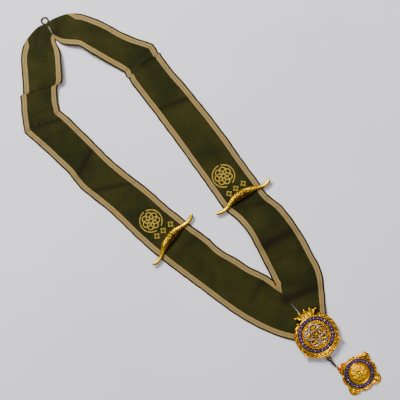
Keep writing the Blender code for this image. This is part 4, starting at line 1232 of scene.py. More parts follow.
def horn_bar(side, rows):
    """A cast bar of two horns with a hammered swelling in the middle."""
    centre, angle = seat_on_strand(rows, BAR_SEATS[side])
    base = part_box("horn_bar_" + side)[0].z
    forward = heading(angle)
    sideways = np.array((-forward[1], forward[0]))
    table = np.array(BAR_SECTIONS)
    knots = table[:, 0]
    slopes = np.gradient(table, knots, axis=0)
    stations = 241
    sides = 28
    turn = math.pi * np.arange(sides) / (sides - 1)
    points = []
    bar_tarnish_and_shade = []
    for along in np.linspace(-0.5, 0.5, stations):
        row, _ = smooth_read(knots, table, slopes, along)
        _, bow, width, height, rise = row
        middle = centre + along * BAR_LENGTH * forward + bow * BAR_BOW * sideways
        boss = math.exp(-(along / 0.17) ** 4)
        dimple = np.sin(along * 250 + 3.0 * np.sin(turn * 5)) * np.sin(turn * 13 + 4 * np.sin(along * 60))
        rings = sum(math.exp(-((abs(along) - ring.away) / ring.wide) ** 2) for ring in BAR_RINGS)
        swell = 1 + boss * 0.11 * dimple * np.sin(turn) + 0.07 * rings * np.sin(turn) ** 0.5
        reach = 0.5 * width * BAR_WIDTH * BAR_WIDENING * np.cos(turn) * swell
        lift = rise * BAR_HEIGHT + height * BAR_HEIGHT * np.sin(turn) * np.minimum(swell, 1.05) * 0.97
        place = middle + reach[:, None] * sideways
        tip = np.clip((abs(along) - 0.43) / 0.07, 0.0, 1.0)
        # Tarnish on the boss; painted light along one long side and painted shade along the other and in
        # the hammer dimples; darker towards the tips
        bar_tarnish_and_shade.append(0.38 * boss - 0.22 * np.cos(turn) - 0.14 * boss * dimple + 0.30 * tip)
        points.append(np.column_stack((place, base + np.maximum(lift, 0.0))))
    faces = [face[::-1] for face in wrap_faces(stations, sides)]
    last = (stations - 1) * sides
    faces.append(tuple(range(sides)))
    faces.append(tuple(last + step for step in reversed(range(sides))))
    finish = finish_named("gilt_bar")
    bar = face_outwards(mesh_object("bar_" + side, np.concatenate(points), faces, finish, sharp=55))
    # The hollows darken as tarnish and painted shade
    mark_hollows(bar, gain=2.0, rounds=1, extra=np.concatenate(bar_tarnish_and_shade))
    hold(bar, "gilt", "horn_bar_" + side)


def bar_group():
    """Both horn bars."""
    horn_bar("left", STRAND_LEFT)
    horn_bar("right", STRAND_RIGHT)


def from_crown(angle):
    """Degrees from the medal's crown, 0 to 180, and which side, for an array of angles."""
    degrees = np.degrees(angle) % 360
    return np.minimum(degrees, 360 - degrees)


def medal_edge(angle):
    """The medal's outer radius: plain under the crown, scalloped leaves, then the scroll."""
    degrees = from_crown(angle)
    share = np.clip((degrees - CROWN_SPREAD) / (SCROLL_START - CROWN_SPREAD), 0, 1)
    scallop = np.abs(np.sin(math.pi * share * LEAVES_PER_SIDE))
    leaf = MEDAL_INNER + LEAF_WIDTH * (0.78 + 0.22 * scallop)
    down = np.clip((degrees - SCROLL_START) / (180 - SCROLL_START), 0, 1)
    curl = np.maximum(0.0, 1 - down / 0.12)
    point = np.maximum(0.0, (down - 0.78) / 0.22)
    scroll = MEDAL_INNER + SCROLL_WIDTH * (0.80 + 0.30 * curl + 0.36 * point * point)
    plain = MEDAL_INNER + 0.12 * LEAF_WIDTH
    return np.where(degrees < CROWN_SPREAD, plain, np.where(degrees < SCROLL_START, leaf, scroll))


def leaf_relief(angle, t):
    """Height of the leaves and scroll, as a share of the relief, at t from the rim outwards."""
    degrees = from_crown(angle)
    share = np.clip((degrees - CROWN_SPREAD) / (SCROLL_START - CROWN_SPREAD), 0, 1)
    phase = share * RELIEF_LEAVES - 0.75 * t
    cell = phase - np.floor(phase)
    leaf = 0.15 + 0.85 * np.sin(math.pi * cell) ** 0.7
    rib = 0.12 * np.exp(-((cell - 0.5) / 0.09) ** 2)
    veins = 0.03 * np.sin(cell * 22 + t * 12)
    leaves = (leaf - rib + veins) * (0.55 + 0.45 * np.sin(math.pi * np.clip(0.25 + 0.75 * t, 0, 1)))
    down = np.clip((degrees - SCROLL_START) / (180 - SCROLL_START), 0, 1)
    band = 0.55 + 0.45 * np.cos(2 * math.pi * np.clip(down, 0, 1))
    flutes = 0.16 * np.sin(t * 15 + 5 * np.sin(down * 9))
    curl = 0.45 * np.exp(-(((down - 0.05) / 0.05) ** 2 + ((t - 0.62) / 0.3) ** 2))
    hatch = 0.10 * np.sin(np.radians(degrees) * 95) * np.exp(-((t - 0.5) / 0.22) ** 2)
    scroll = 0.62 + 0.26 * band + flutes + curl + hatch * (down > 0.15)
    fade = np.clip((t + 0.05) / 0.12, 0, 1) * np.clip((1.02 - t) / 0.14, 0, 1) ** 0.6
    made = np.where(degrees < SCROLL_START, leaves, scroll * 0.92)
    return np.where(degrees < CROWN_SPREAD, 0.30, made) * fade


def medal_frame():
    """Stippled ground, beaded rims, leaves and scroll as one relief."""
    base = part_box("medal_enamel")[0].z - GAP - MEDAL_BASE
    steps = sizes_now().medal_steps
    angle = 2 * math.pi * np.arange(steps) / steps
    channel_end = GROUND_RADIUS + RIM_WIDTH + ENAMEL_WIDTH + 2 * GAP
    radii = []
    heights = []
    for radius in np.linspace(0.6 * MM, GROUND_RADIUS - 0.15 * MM, 44):
        away = radius / MM
        grain = np.sin(away * 7.3 + angle * 3) * np.sin(angle * round(away * 6.2) + away * 9)
        radii.append(radius)
        heights.append(MEDAL_BASE + 0.10 * MM * grain - 0.04 * MM)
    rope = 0.11 * MM * np.sin(angle * 84)
    for share, rise in INNER_RIM:
        radii.append(GROUND_RADIUS + share * RIM_WIDTH)
        heights.append(MEDAL_BASE + MEDAL_RIM * rise + rope * (0.2 < share < 0.8))
    radii.append(channel_end)
    heights.append(MEDAL_BASE)
    for share, rise in OUTER_RIM:
        radii.append(channel_end + share * RIM_WIDTH)
        heights.append(MEDAL_BASE + MEDAL_RIM * rise)
    edge = medal_edge(angle)
    for t in np.linspace(0.0, 1.0, 26):
        radii.append(MEDAL_INNER + 0.05 * MM + t * (edge - MEDAL_INNER - 0.05 * MM))
        heights.append(0.75 * MEDAL_BASE + MEDAL_RELIEF * leaf_relief(angle, t) * 1.08)
    radii += [edge + 0.02 * MM, edge - 0.25 * MM]
    heights += [0.45 * MEDAL_BASE, 0.0]
    made = turned_relief("medal_relief", MEDAL_CENTRE, base, MEDAL_TURN, radii, heights, steps,
                         finish_named("gilt_medal"), sharp=80)
    # The hollows darken as tarnish and painted shade
    mark_hollows(made, gain=3.0, rounds=5)
    hold(made, "gilt", "medal_frame")
    return base


def medal_ground(base):
    """A stippled disc that the strap lies on."""
    steps = 300
    angle = 2 * math.pi * np.arange(steps) / steps
    radii = []
    heights = []
    for index, radius in enumerate(np.linspace(0.25 * MM, GROUND_RADIUS - 0.3 * MM, 60)):
        count = max(6, round(radius / MM * 5.2))
        stipple = 0.5 + 0.5 * np.cos(angle * count + index * 2.4)
        wave = 0.5 + 0.5 * np.sin(radius / MM * 5.6)
        radii.append(radius)
        heights.append(MEDAL_BASE + 0.05 * MM + 0.24 * MM * stipple * wave)
    radii.append(GROUND_RADIUS - 0.25 * MM)
    heights.append(0.6 * MEDAL_BASE)
    made = turned_relief("medal_ground", MEDAL_CENTRE, base, MEDAL_TURN, radii, heights, steps,
                         finish_named("gilt_ground"), sharp=80)
    # The hollows darken as tarnish and painted shade, and the whole ground a little more
    mark_hollows(made, gain=3.0, rounds=1, extra=0.10)
    hold(made, "gilt")


def crown_point(across, up, middle, axis, side):
    """A place on the crown, at shares of its width and height from its middle."""
    return middle + across * CROWN_WIDTH * side + up * CROWN_HEIGHT * axis


def crown_relief(across, t):
    """Height of the crown as a share of its relief, at t from its band up to its points."""
    dome = np.cos(0.5 * math.pi * across) ** 0.5
    band = np.exp(-((t - 0.14) / 0.10) ** 2) + 0.5 * np.exp(-((t - 0.40) / 0.06) ** 2)
    fleur = np.abs(np.cos(math.pi * across / 0.52)) ** 1.5 * np.clip(t * 1.6 - 0.4, 0, 1)
    jewel = 0.25 * np.exp(-((t - 0.27) / 0.05) ** 2) * (np.cos(across * 22) > 0.2)
    ends = np.clip(np.minimum(t, 1 - t) / 0.08, 0, 1) ** 0.5
    sides = np.clip((1 - np.abs(across)) / 0.05, 0, 1) ** 0.5
    rise = 0.35 + 0.30 * dome + 0.22 * band + 0.26 * fleur + jewel
    return 0.25 + np.minimum(0.74 * rise, 0.74) * (ends * sides)


def medal_crown(base):
    """A coronet with a curved band, five points, balls on the points and beads on the band."""
    axis = heading(MEDAL_TURN)
    side = np.array((axis[1], -axis[0]))
    middle = MEDAL_CENTRE + (MEDAL_INNER - 0.6 * RIM_WIDTH + CROWN_HEIGHT / 2) * axis
    back = base + CROWN_BACK
    relief = MEDAL_BASE + MEDAL_RELIEF
    count = 150
    rows = 34
    across = np.linspace(-1, 1, count)
    points_at = np.array((-1.0, -0.52, 0.0, 0.52, 1.0))
    top = np.full(count, 0.10)
    for point, tall in zip(points_at, (0.05, 0.36, 0.50, 0.36, 0.05)):
        near = np.clip(1 - np.abs(across - point) / 0.26, 0, 1)
        top = np.maximum(top, 0.12 + (tall - 0.12) * near ** 0.55)
    wing = np.clip((np.abs(across) - 0.8) / 0.2, 0, 1)
    bottom = -0.50 + 0.09 * (1 - across ** 2)
    grid = []
    for row in range(rows):
        t = row / (rows - 1)
        spread = 0.33 + (0.50 - 0.33) * t ** 1.4
        up = bottom + (top - bottom) * t + 0.02 * wing * t
        place = crown_point((across * spread)[:, None], up[:, None], middle, axis, side)
        grid.append(np.column_stack((place, back + relief * crown_relief(across, t))))
    upper = np.concatenate(grid)
    lower = upper.copy()
    lower[:, 2] = back
    faces = []
    layer = count * rows
    for row in range(rows - 1):
        for column in range(count - 1):
            corner = row * count + column
            quad = (corner, corner + 1, corner + count + 1, corner + count)
            faces.append(quad)
            faces.append(tuple(layer + index for index in reversed(quad)))
    rim = grid_rim(rows, count)
    for start, end in zip(rim, rim[1:] + rim[:1]):
        faces.append((layer + end, layer + start, start, end))
    finish = finish_named("gilt_medal")
    crown = face_outwards(
        mesh_object("medal_crown", np.concatenate((upper, lower)), faces, finish, sharp=70))
    # The hollows darken as tarnish and painted shade
    mark_hollows(crown, gain=4.0, rounds=2)
    hold(crown, "gilt")
    balls = []
    for point, tall in zip(points_at, (0.06, 0.37, 0.46, 0.37, 0.06)):
        place = crown_point(point * 0.485, tall, middle, axis, side)
        balls.append((*place, back + 0.62 * relief, 1.15 * MM))
    for point in np.linspace(-0.29, 0.29, 9):
        place = crown_point(point, -0.30 + 0.08 * (1 - (point / 0.33) ** 2), middle, axis, side)
        balls.append((*place, back + 0.92 * relief, 0.42 * MM))
    hold(beads("crown_balls", balls, "gilt_medal"), "gilt")


def bead_group():
    """A node group that sets a bead on every point, sized by the point's own radius."""
    group = bpy.data.node_groups.new("beads_on_points", "GeometryNodeTree")
    face = group.interface
    face.new_socket("Geometry", in_out="INPUT", socket_type="NodeSocketGeometry")
    face.new_socket("Flatten", in_out="INPUT", socket_type="NodeSocketFloat").default_value = 1.0
    face.new_socket("Material", in_out="INPUT", socket_type="NodeSocketMaterial")
    face.new_socket("Geometry", in_out="OUTPUT", socket_type="NodeSocketGeometry")
    tree = Tree(group)
    given = tree.add("NodeGroupInput").outputs
    ball = tree.add("GeometryNodeMeshUVSphere", None, {"Segments": 14, "Rings": 8, "Radius": 1.0})
    press = tree.add("ShaderNodeCombineXYZ", None, {"X": 1.0, "Y": 1.0, "Z": given["Flatten"]})
    shaped = tree.add("GeometryNodeTransform", None,
                      {"Geometry": ball.outputs["Mesh"], "Scale": press.outputs[0]})
    radius = tree.add("GeometryNodeInputNamedAttribute", {"data_type": "FLOAT"}, {"Name": "bead"})
    placed = tree.add("GeometryNodeInstanceOnPoints", None, {
        "Points": given["Geometry"], "Instance": shaped.outputs["Geometry"],
        "Scale": radius.outputs["Attribute"],
    })
    real = tree.add("GeometryNodeRealizeInstances", None, {"Geometry": placed.outputs["Instances"]})
    smooth = tree.add("GeometryNodeSetShadeSmooth", None, {"Geometry": real.outputs["Geometry"]})
    dressed = tree.add("GeometryNodeSetMaterial", None,
                       {"Geometry": smooth.outputs["Geometry"], "Material": given["Material"]})
    tree.add("NodeGroupOutput", None, {"Geometry": dressed.outputs["Geometry"]})
    return group


def beads(name, spots, finish_name, flatten=1.0):
    """Beads at spots of place and radius, as one mesh."""
    group = bpy.data.node_groups.get("beads_on_points") or bead_group()
    mesh = bpy.data.meshes.new(name + "_spots")
    mesh.from_pydata([tuple(spot[:3]) for spot in spots], [], [])
    radius = mesh.attributes.new("bead", "FLOAT", "POINT")
    radius.data.foreach_set("value", [spot[3] for spot in spots])
    source = bpy.data.objects.new(name + "_spots", mesh)
    bpy.context.scene.collection.objects.link(source)
    finish = finish_named(finish_name)
    return grown(name, source, group, {"Flatten": flatten, "Material": finish}, finish)


def enamel_ring(name, node, inner, width, centre, finish_name):
    """A flat ring of enamel with softened edges and a slight crown."""
    low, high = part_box(node)
    thick = high.z - low.z
    radii = []
    heights = []
    for share in np.linspace(0, 1, 9):
        radii.append(inner + share * width)
        heights.append(thick * (0.72 + 0.28 * math.sin(math.pi * share) ** 0.4))
    radii += [inner + width, inner]
    heights += [0.0, 0.0]
    finish = finish_named(finish_name)
    made = turned_relief(name, centre, low.z, 0.0, radii, heights, 180, finish, closed=True)
    return hold(made, "purple_enamel", node)


def curl(middle, start, sign, size, turns, shrink, count):
    """Places along a spiral that starts at an angle and closes in by a share of its size."""
    places = []
    for turn in np.linspace(0, turns * math.pi, count):
        reach = size * (1 - shrink * turn / (turns * math.pi))
        places.append(middle + reach * heading(start + sign * turn))
    return places


def ring_marks(name, centre, turn, radius, base, size, tall):
    """A generic row of dots and short bars round an enamel ring, three dots to each bar."""
    count = 28
    spots = []
    for index in range(count):
        outwards = heading(turn + 2 * math.pi * (index + 0.5) / count)
        middle = centre + radius * outwards
        if index % 4 == 3:
            for step in np.linspace(-1, 1, 7):
                spots.append((*(middle + step * tall * outwards), base, 0.85 * size))
        else:
            spots.append((*middle, base, size))
    return hold(beads(name, spots, "pale_marks", 0.55), "gilt")


def lobed_path(radius, swing, lobes, turns, steps, base, rise):
    """A closed line that weaves round the medal's middle, over and under itself."""
    path = []
    for t in np.linspace(0, 2 * math.pi * turns, steps + 1)[:-1]:
        phase = lobes * t / turns
        place = MEDAL_CENTRE + (radius + swing * math.cos(phase)) * heading(t + MEDAL_TURN)
        path.append((*place, base + rise * math.sin(phase)))
    return path


def medal_knot():
    """The interlaced strap in the medal's middle, with beads in its lobes."""
    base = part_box("medal_knot")[0].z
    rise = (KNOT_THICKNESS + GAP) / 2 + 0.1 * KNOT_THICKNESS
    middle = base + KNOT_THICKNESS / 2 + rise
    path = lobed_path(KNOT_RADIUS, KNOT_SWING, 5, 2, 400, middle, rise)
    strap = tube("knot_strap", path, KNOT_STRAP, 14, finish_named("silver_strap"),
                 flat=KNOT_THICKNESS / KNOT_STRAP)
    hold(strap, "silver", "medal_knot")
    # A dark flat band under the strap: painted shadow round the silver
    shadow_path = [(x, y, base + 0.10 * MM) for x, y, _ in path]
    dark = tube("knot_outline", shadow_path, KNOT_STRAP + 1.5 * MM, 10, finish_named("knot_outline"), flat=0.10)
    hold(dark, "gilt")
    inlay = [(x, y, z + 0.42 * KNOT_THICKNESS) for x, y, z in path]
    red = tube("knot_inlay", inlay, 0.50 * MM, 8, finish_named("coral_glass"), flat=0.55)
    hold(red, "red_enamel")
    fine = lobed_path(FILIGREE_RADIUS, FILIGREE_SWING, 7, 3, 420, base + 0.22 * MM, 0.10 * MM)
    filigree = tube("knot_filigree", fine, FILIGREE_WIRE, 8, finish_named("gilt_bright"), flat=0.6)
    # An even share of tarnish and painted shade over the filigree
    set_values(filigree, "hollow", np.full(len(filigree.data.vertices), 0.3))
    hold(filigree, "gilt")
    spots = []
    for ring in BEAD_RINGS:
        for index in range(ring.count):
            angle = MEDAL_TURN + 2 * math.pi * (index + ring.start) / ring.count
            place = MEDAL_CENTRE + ring.radius * MM * heading(angle)
            spots.append((*place, base + 0.15 * MM, ring.bead * MM))
    hold(beads("knot_beads", spots, "gilt_bright"), "gilt")


def ring_path(centre, radius, height, steps):
    """Points round a level circle."""
    return [(*(centre + radius * heading(2 * math.pi * step / steps)), height) for step in range(steps)]


def make_medal():
    """The medal with its crown, rings, marks, strap and eye."""
    base = medal_frame()
    medal_ground(base)
    medal_crown(base)
    inner = GROUND_RADIUS + RIM_WIDTH + GAP
    enamel_ring("medal_ring", "medal_enamel", inner, ENAMEL_WIDTH, MEDAL_CENTRE, "purple_glass")
    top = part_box("medal_enamel")[1].z
    ring_marks("medal_marks", MEDAL_CENTRE, MEDAL_TURN, inner + ENAMEL_WIDTH / 2, top, 0.44 * MM, 0.80 * MM)
    medal_knot()
    foot = float(medal_edge(np.array(math.pi)))
    eye = MEDAL_CENTRE - (foot + 0.7 * EYE_RADIUS) * heading(MEDAL_TURN)
    ring = tube("medal_eye", ring_path(eye, EYE_RADIUS, base + MEDAL_BASE, 40), 1.3 * EYE_WIRE, 12,
                finish_named("tarnished_wire"))
    hold(ring, "gilt")
    height = base + 0.9 * MEDAL_RELIEF + 0.6 * MM
    curls = []
    for sign in (-1, 1):
        angle = MEDAL_TURN + sign * math.radians(SCROLL_START + 3)
        middle = MEDAL_CENTRE + (MEDAL_INNER + 0.72 * SCROLL_WIDTH) * heading(angle)
        for place in curl(middle, angle, sign, 1.9 * MM, 1.6, 0.42, 40):
            curls.append((*place, height, 0.42 * MM))
    hold(beads("scroll_curls", curls, "gilt_medal"), "gilt")


def drop_edge(angle):
    """How far the drop's lobed edge lies out past the enamel, for an array of angles."""
    degrees = np.degrees(angle) % 90
    degrees = np.minimum(degrees, 90 - degrees)
    turns = [point.turn for point in DROP_EDGE]
    outs = [point.out for point in DROP_EDGE]
    return DROP_LOBE * np.interp(degrees, turns, outs)


def drop_plate():
    """The drop's square plate with rims, corner lobes, side scrolls and bosses."""
    steps = 360
    angle = 2 * math.pi * np.arange(steps) / steps
    rim = DROP_BASE + DROP_RIM
    edge = DROP_OUTER + drop_edge(angle)
    degrees = np.degrees(angle) % 90
    near = np.minimum(degrees, 90 - degrees)
    corner = np.exp(-(near / 11.0) ** 2)
    petal = 0.5 + 0.5 * np.cos(np.radians(near) * 26)
    profile = (
        (0.5 * MM, DROP_BASE), (DROP_SEAT - 0.05 * MM, DROP_BASE), (DROP_SEAT, rim - 0.1 * MM),
        (DROP_SEAT + 0.25 * DROP_RIM_WIDTH, rim + 0.05 * MM),
        (DROP_SEAT + 0.75 * DROP_RIM_WIDTH, rim + 0.05 * MM),
        (DROP_CHANNEL, rim - 0.1 * MM), (DROP_CHANNEL + 0.02 * MM, DROP_BASE),
        (DROP_CHANNEL_END - 0.02 * MM, DROP_BASE), (DROP_CHANNEL_END, rim - 0.05 * MM),
        (DROP_CHANNEL_END + 0.3 * DROP_RIM_WIDTH, rim + 0.15 * MM), (DROP_OUTER, rim + 0.05 * MM),
    )
    radii = [radius for radius, _ in profile]
    heights = [height for _, height in profile]
    for t in np.linspace(0.03, 1.0, 20):
        bead = 0.5 * np.sin(t * math.pi) * corner + 0.28 * petal * np.sin(math.pi * t) ** 0.7
        groove = 0.10 * np.sin(t * 17 + near * 0.22)
        fall = np.clip((1.03 - t) / 0.18, 0, 1) ** 0.6
        radii.append(DROP_OUTER + t * (edge - DROP_OUTER))
        heights.append(DROP_BASE * 0.55 + (DROP_RIM * 0.75 + DROP_BOSS * (bead + groove + 0.18)) * fall)
    radii += [edge + 0.02 * MM, edge - 0.2 * MM]
    heights += [0.45 * DROP_BASE, 0.0]
    finish = finish_named("gilt_drop")
    plate = turned_relief("drop_plate", DROP_CENTRE, 0.0, DROP_TURN, radii, heights, steps,
                          finish, sharp=80)
    # The hollows darken as tarnish and painted shade
    mark_hollows(plate, gain=3.6, rounds=2)
    hold(plate, "gilt", "drop_frame")


def drop_trim():
    """Bosses at the free corners and small scroll beads along the sides."""
    bosses = []
    for number in (1, 2, 3):
        corner = heading(DROP_TURN + math.pi / 2 * number)
        place = DROP_CENTRE + (DROP_OUTER + 0.52 * DROP_LOBE) * corner
        bosses.append((*place, DROP_BASE + DROP_RIM + 0.35 * MM, 1.45 * MM))
    hold(beads("drop_bosses", bosses, "gilt_orange", 0.75), "gilt")
    spots = []
    for number in range(4):
        for sign in (-1, 1):
            for order, spiral in enumerate(DROP_CURLS):
                lean = DROP_TURN + math.pi / 2 * number + sign * math.radians(spiral.away)
                middle = DROP_CENTRE + (DROP_OUTER + spiral.out * MM) * heading(lean)
                start = lean + sign * 0.8 * order
                for place in curl(middle, start, sign, spiral.size * MM, 1.5, 0.45, 22):
                    spots.append((*place, DROP_BASE + 0.72 * MM, 0.33 * MM))
    hold(beads("drop_scrolls", spots, "gilt_drop"), "gilt")


def drop_rosette():
    """The domed middle of the drop, with two rings of petals round a boss."""
    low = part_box("drop_disc")[0].z
    steps = 256
    angle = 2 * math.pi * np.arange(steps) / steps
    radii = []
    heights = []
    for share in np.linspace(0.03, 0.90, 46):
        dome = DISC_DOME * (1 - share ** 2) * 0.62
        inner = np.clip(1 - np.abs(share - 0.30) / 0.16, 0, 1) * (0.5 + 0.5 * np.cos(8 * angle))
        outer = np.clip(1 - np.abs(share - 0.60) / 0.24, 0, 1) * (0.5 + 0.5 * np.cos(8 * angle + math.pi))
        vein = 0.12 * np.cos(24 * angle) * np.clip(1 - abs(share - 0.62) / 0.22, 0, 1)
        boss = math.sqrt(max(0.0, 1 - (share / 0.14) ** 2))
        petals = 0.30 * np.sqrt(inner) + 0.26 * np.sqrt(outer)
        lift = dome + DISC_DOME * (petals + vein * 0.25 + 0.40 * boss)
        radii.append(share * DISC_RADIUS)
        heights.append(DISC_THICKNESS + np.minimum(lift, DISC_DOME * 1.05))
    for share, rise in ((0.92, 0.34), (0.94, 0.42), (0.96, 0.42), (0.985, 0.30), (1.0, 0.0)):
        radii.append(share * DISC_RADIUS)
        heights.append(DISC_THICKNESS + rise * DISC_DOME)
    radii.append(DISC_RADIUS)
    heights.append(0.0)
    disc = turned_relief("drop_rosette", DROP_CENTRE, low, DROP_TURN, radii, heights, steps,
                         finish_named("gilt_bright"), sharp=70)
    # The hollows darken as tarnish and painted shade
    mark_hollows(disc, gain=2.6, rounds=5)
    hold(disc, "gilt", "drop_disc")


def make_drop():
    """The drop with its plate, enamel, rosette, bosses and red spots."""
    drop_plate()
    drop_trim()
    inner = DROP_CHANNEL + GAP
    enamel_ring("drop_ring", "drop_enamel", inner, DROP_ENAMEL_WIDTH, DROP_CENTRE, "navy_glass")
    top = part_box("drop_enamel")[1].z
    radius = inner + DROP_ENAMEL_WIDTH / 2
    ring_marks("drop_marks", DROP_CENTRE, DROP_TURN, radius, top, 0.36 * MM, 0.75 * MM)
    drop_rosette()
    quarter = math.pi / 2 * np.linspace(0.06, 1, 12)
    radii = [*(SPOT_RADIUS * np.sin(quarter)), 0.9 * SPOT_RADIUS]
    heights = [*(0.75 * SPOT_RADIUS * np.cos(quarter) + 0.05 * MM), 0.0]
    for number in (1, 2, 3):
        node = f"drop_spot_{number}"
        low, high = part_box(node)
        middle = ((low.x + high.x) / 2, (low.y + high.y) / 2)
        dot = turned_relief(f"red_spot_{number}", middle, low.z, 0.0, radii, heights, 32,
                            finish_named("red_glass"))
        hold(dot, "red_enamel", node)


def long_loop(solid):
    """The middle line of the link, read from its solid's own points."""
    place = np.array([tuple(solid.matrix_world @ vertex.co) for vertex in solid.data.vertices])
    middle = place.mean(axis=0)
    _, _, axes = np.linalg.svd(place - middle, full_matrices=False)
    run, rise, thick = np.ptp((place - middle) @ axes.T, axis=0)
    long_half = (run - thick) / 2
    short_half = (rise - thick) / 2
    straight = long_half - short_half
    path = []
    for sign in (1, -1):
        for turn in np.linspace(-math.pi / 2, math.pi / 2, 14):
            along = sign * (straight + short_half * math.cos(turn))
            path.append(tuple(middle + along * axes[0] + sign * short_half * math.sin(turn) * axes[1]))
    return path


def make_wires():
    """The ring at the nape, the link and the pins' finish."""
    dark = finish_named("tarnished_wire")
    low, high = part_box("neck_ring")
    middle = np.array(((low.x + high.x) / 2, (low.y + high.y) / 2))
    radius = (high.x - low.x - (high.z - low.z)) / 2
    path = ring_path(middle, radius, low.z + RING_WIRE / 2, 64)
    hold(tube("nape_ring", path, RING_WIRE, 14, dark), "dark_wire", "neck_ring")
    link = tube("link_loop", long_loop(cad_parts["link"]), LINK_WIRE, 12, dark, up=Vector((1, 0, 0)))
    hold(link, "dark_wire", "link")
    for name in ("horn_pin_left", "horn_pin_right", "medal_pin"):
        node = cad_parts[name]
        node.data.materials.clear()
        node.data.materials.append(dark)


# Stage

def make_stage():
    """Table, lights, sky and the camera straight above."""
    table = mesh_object("table", [(-3, -3, 0), (3, -3, 0), (3, 3, 0), (-3, 3, 0)], [(0, 1, 2, 3)],
                        floor_finish(), flat=True)
    world = bpy.data.worlds.new("studio")
    bpy.context.scene.world = world
    world.use_nodes = True
    tree = Tree(world.node_tree)
    back = world.node_tree.nodes["Background"]
    coordinate = tree.add("ShaderNodeTexCoord").outputs["Generated"]
    bright = tree.add("ShaderNodeVectorMath", {"operation": "DOT_PRODUCT"},
                      {0: coordinate, 1: SKY_BRIGHT})
    ramp = tree.add("ShaderNodeValToRGB", None, {"Fac": bright.outputs["Value"]})
    ramp.color_ramp.elements[0].color = (0.10, 0.10, 0.11, 1)
    ramp.color_ramp.elements[1].color = (1.00, 1.00, 1.04, 1)
    tree.feed(back.inputs["Color"], ramp.outputs["Color"])
    back.inputs["Strength"].default_value = 0.60
    up = Vector((*PHOTO_UP, 0))
    right = Vector((*PHOTO_RIGHT, 0))
    for lamp in LAMPS:
        data = bpy.data.lights.new(lamp.name, "AREA")
        data.shape = "SQUARE"
        data.size = lamp.size
        data.energy = lamp.power
        thing = bpy.data.objects.new(lamp.name, data)
        thing.location = STAGE_MIDDLE + up * lamp.up + right * lamp.right + UP * lamp.height
        thing.rotation_mode = "QUATERNION"
        thing.rotation_quaternion = (STAGE_MIDDLE - thing.location).to_track_quat("-Z", "Y")
        bpy.context.scene.collection.objects.link(thing)
    data = bpy.data.cameras.new("camera")
    data.sensor_width = 36.0
    data.lens = data.sensor_width * CAMERA_HEIGHT / VIEW_WIDTH
    data.clip_end = 20
    camera = bpy.data.objects.new("camera", data)
    aim = from_photo(*PHOTO_MIDDLE)
    turn = Matrix((
        (PHOTO_RIGHT[0], PHOTO_UP[0], 0.0), (PHOTO_RIGHT[1], PHOTO_UP[1], 0.0), (0.0, 0.0, 1.0),
    )).to_4x4()
    camera.matrix_world = Matrix.Translation((aim[0], aim[1], CAMERA_HEIGHT)) @ turn
    bpy.context.scene.collection.objects.link(camera)
    bpy.context.scene.camera = camera


def make_finishes():
    """All materials."""
    sizes, colours = sizes_now(), colours_now()
    gold = rgb(colours.gold)
    thread = rgb(colours.thread)
    ribbon_finish(sizes, rgb(colours.field), rgb(colours.stripe))
    # The third colour of each gilt is its tarnish and painted shade in the hollows
    gilt_finish("gilt_bar", (0.60, 0.37, 0.016), (0.050, 0.017, 0.004), (0.42, 0.19, 0.012), 0.26)
    gilt_finish("gilt_medal", gold, (0.075, 0.020, 0.002), (0.72, 0.31, 0.004), 0.22)
    gilt_finish("gilt_drop", (0.66, 0.33, 0.004), (0.050, 0.015, 0.002), (0.52, 0.19, 0.004), 0.24)
    gilt_finish("gilt_bright", (0.70, 0.34, 0.0005), (0.13, 0.040, 0.0005), (0.64, 0.27, 0.0005), 0.28)
    gilt_finish("gilt_orange", (0.90, 0.34, 0.03), (0.40, 0.08, 0.010), (0.95, 0.26, 0.03), 0.25)
    gilt_finish("gilt_ground", (0.60, 0.33, 0.004), (0.045, 0.015, 0.002), (0.46, 0.14, 0.004), 0.30)
    thread_finish("gold_thread", thread, tuple(0.35 * part for part in thread))
    thread_finish("dark_thread", (0.016, 0.014, 0.006), (0.006, 0.005, 0.002))
    enamel_finish("purple_glass", rgb(colours.enamel), (0.012, 0.005, 0.030), (0.15, 0.07, 0.17))
    enamel_finish("navy_glass", (0.034, 0.009, 0.055), (0.010, 0.006, 0.042), (0.07, 0.07, 0.19))
    enamel_finish("red_glass", (0.56, 0.055, 0.015), (0.34, 0.016, 0.008), (0.85, 0.34, 0.16))
    enamel_finish("coral_glass", (0.26, 0.22, 0.24), (0.46, 0.12, 0.02), (0.50, 0.40, 0.22))
    wire_finish("tarnished_wire", (0.16, 0.11, 0.07), (0.030, 0.020, 0.014), 0.38)
    wire_finish("silver_strap", (0.44, 0.40, 0.36), (0.19, 0.16, 0.12), 0.30)
    wire_finish("pale_marks", (0.86, 0.66, 0.42), (0.52, 0.30, 0.16), 0.30)
    # Painted shadow under the knot's strap
    wire_finish("knot_outline", (0.055, 0.018, 0.006), (0.016, 0.007, 0.005), 0.50)


# Operators

class CHAIN_OT_finishes(bpy.types.Operator):
    """Make the materials"""
    bl_idname = "chain.finishes"
    bl_label = "Finishes"

    def execute(self, context):
        make_finishes()
        return {"FINISHED"}


class CHAIN_OT_cloth(bpy.types.Operator):
    """Lay the four runs of ribbon"""
    bl_idname = "chain.cloth"
    bl_label = "Ribbon"

    def execute(self, context):
        make_cloth()
        return {"FINISHED"}


class CHAIN_OT_embroidery(bpy.types.Operator):
    """Sew the gold roundels and florets"""
    bl_idname = "chain.embroidery"
    bl_label = "Embroidery"

    def execute(self, context):
        make_embroidery()
        return {"FINISHED"}


class CHAIN_OT_stitches(bpy.types.Operator):
    """Sew the seams"""
    bl_idname = "chain.stitches"
    bl_label = "Stitches"

    def execute(self, context):
        make_stitches()
        return {"FINISHED"}


class CHAIN_OT_bars(bpy.types.Operator):
    """Cast the two horn bars"""
    bl_idname = "chain.bars"
    bl_label = "Horn bars"

    def execute(self, context):
        bar_group()
        return {"FINISHED"}


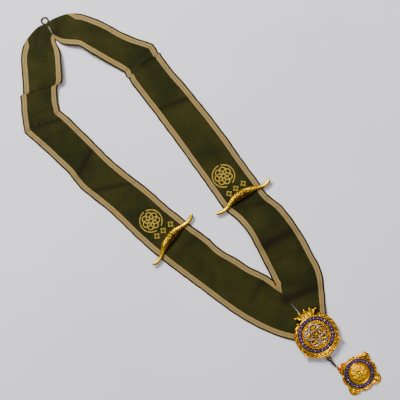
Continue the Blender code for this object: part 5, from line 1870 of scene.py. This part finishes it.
class CHAIN_OT_medal(bpy.types.Operator):
    """Make the medal"""
    bl_idname = "chain.medal"
    bl_label = "Medal"

    def execute(self, context):
        make_medal()
        return {"FINISHED"}


class CHAIN_OT_drop(bpy.types.Operator):
    """Make the drop"""
    bl_idname = "chain.drop"
    bl_label = "Drop"

    def execute(self, context):
        make_drop()
        return {"FINISHED"}


class CHAIN_OT_wires(bpy.types.Operator):
    """Make the ring at the nape and finish the link and pins"""
    bl_idname = "chain.wires"
    bl_label = "Wires"

    def execute(self, context):
        make_wires()
        return {"FINISHED"}


class CHAIN_OT_stage(bpy.types.Operator):
    """Set the table, lights and camera"""
    bl_idname = "chain.stage"
    bl_label = "Stage"

    def execute(self, context):
        make_stage()
        return {"FINISHED"}


OPERATORS = (
    CHAIN_OT_finishes, CHAIN_OT_cloth, CHAIN_OT_embroidery, CHAIN_OT_stitches, CHAIN_OT_bars,
    CHAIN_OT_medal, CHAIN_OT_drop, CHAIN_OT_wires, CHAIN_OT_stage,
)


class CHAIN_PT_panel(bpy.types.Panel):
    """Steps that dress the chain of office"""
    bl_idname = "CHAIN_PT_panel"
    bl_label = "Chain of office"
    bl_space_type = "VIEW_3D"
    bl_region_type = "UI"
    bl_category = "Regalia"

    def draw(self, context):
        for group in (context.scene.chain_sizes, context.scene.chain_colours):
            for name in group.bl_rna.properties.keys():
                if name not in ("rna_type", "name"):
                    self.layout.prop(group, name)
        for operator in OPERATORS:
            self.layout.operator(operator.bl_idname)


CLASSES = (ChainSizes, ChainColours, *OPERATORS, CHAIN_PT_panel)


def register():
    for each in CLASSES:
        bpy.utils.register_class(each)
    bpy.types.Scene.chain_sizes = PointerProperty(type=ChainSizes)
    bpy.types.Scene.chain_colours = PointerProperty(type=ChainColours)


def unregister():
    del bpy.types.Scene.chain_colours
    del bpy.types.Scene.chain_sizes
    for each in reversed(CLASSES):
        bpy.utils.unregister_class(each)


def main():
    """Make everything in order."""
    register()
    for operator in OPERATORS:
        group, name = operator.bl_idname.split(".")
        getattr(getattr(bpy.ops, group), name)()


if __name__ == "__main__":
    main()
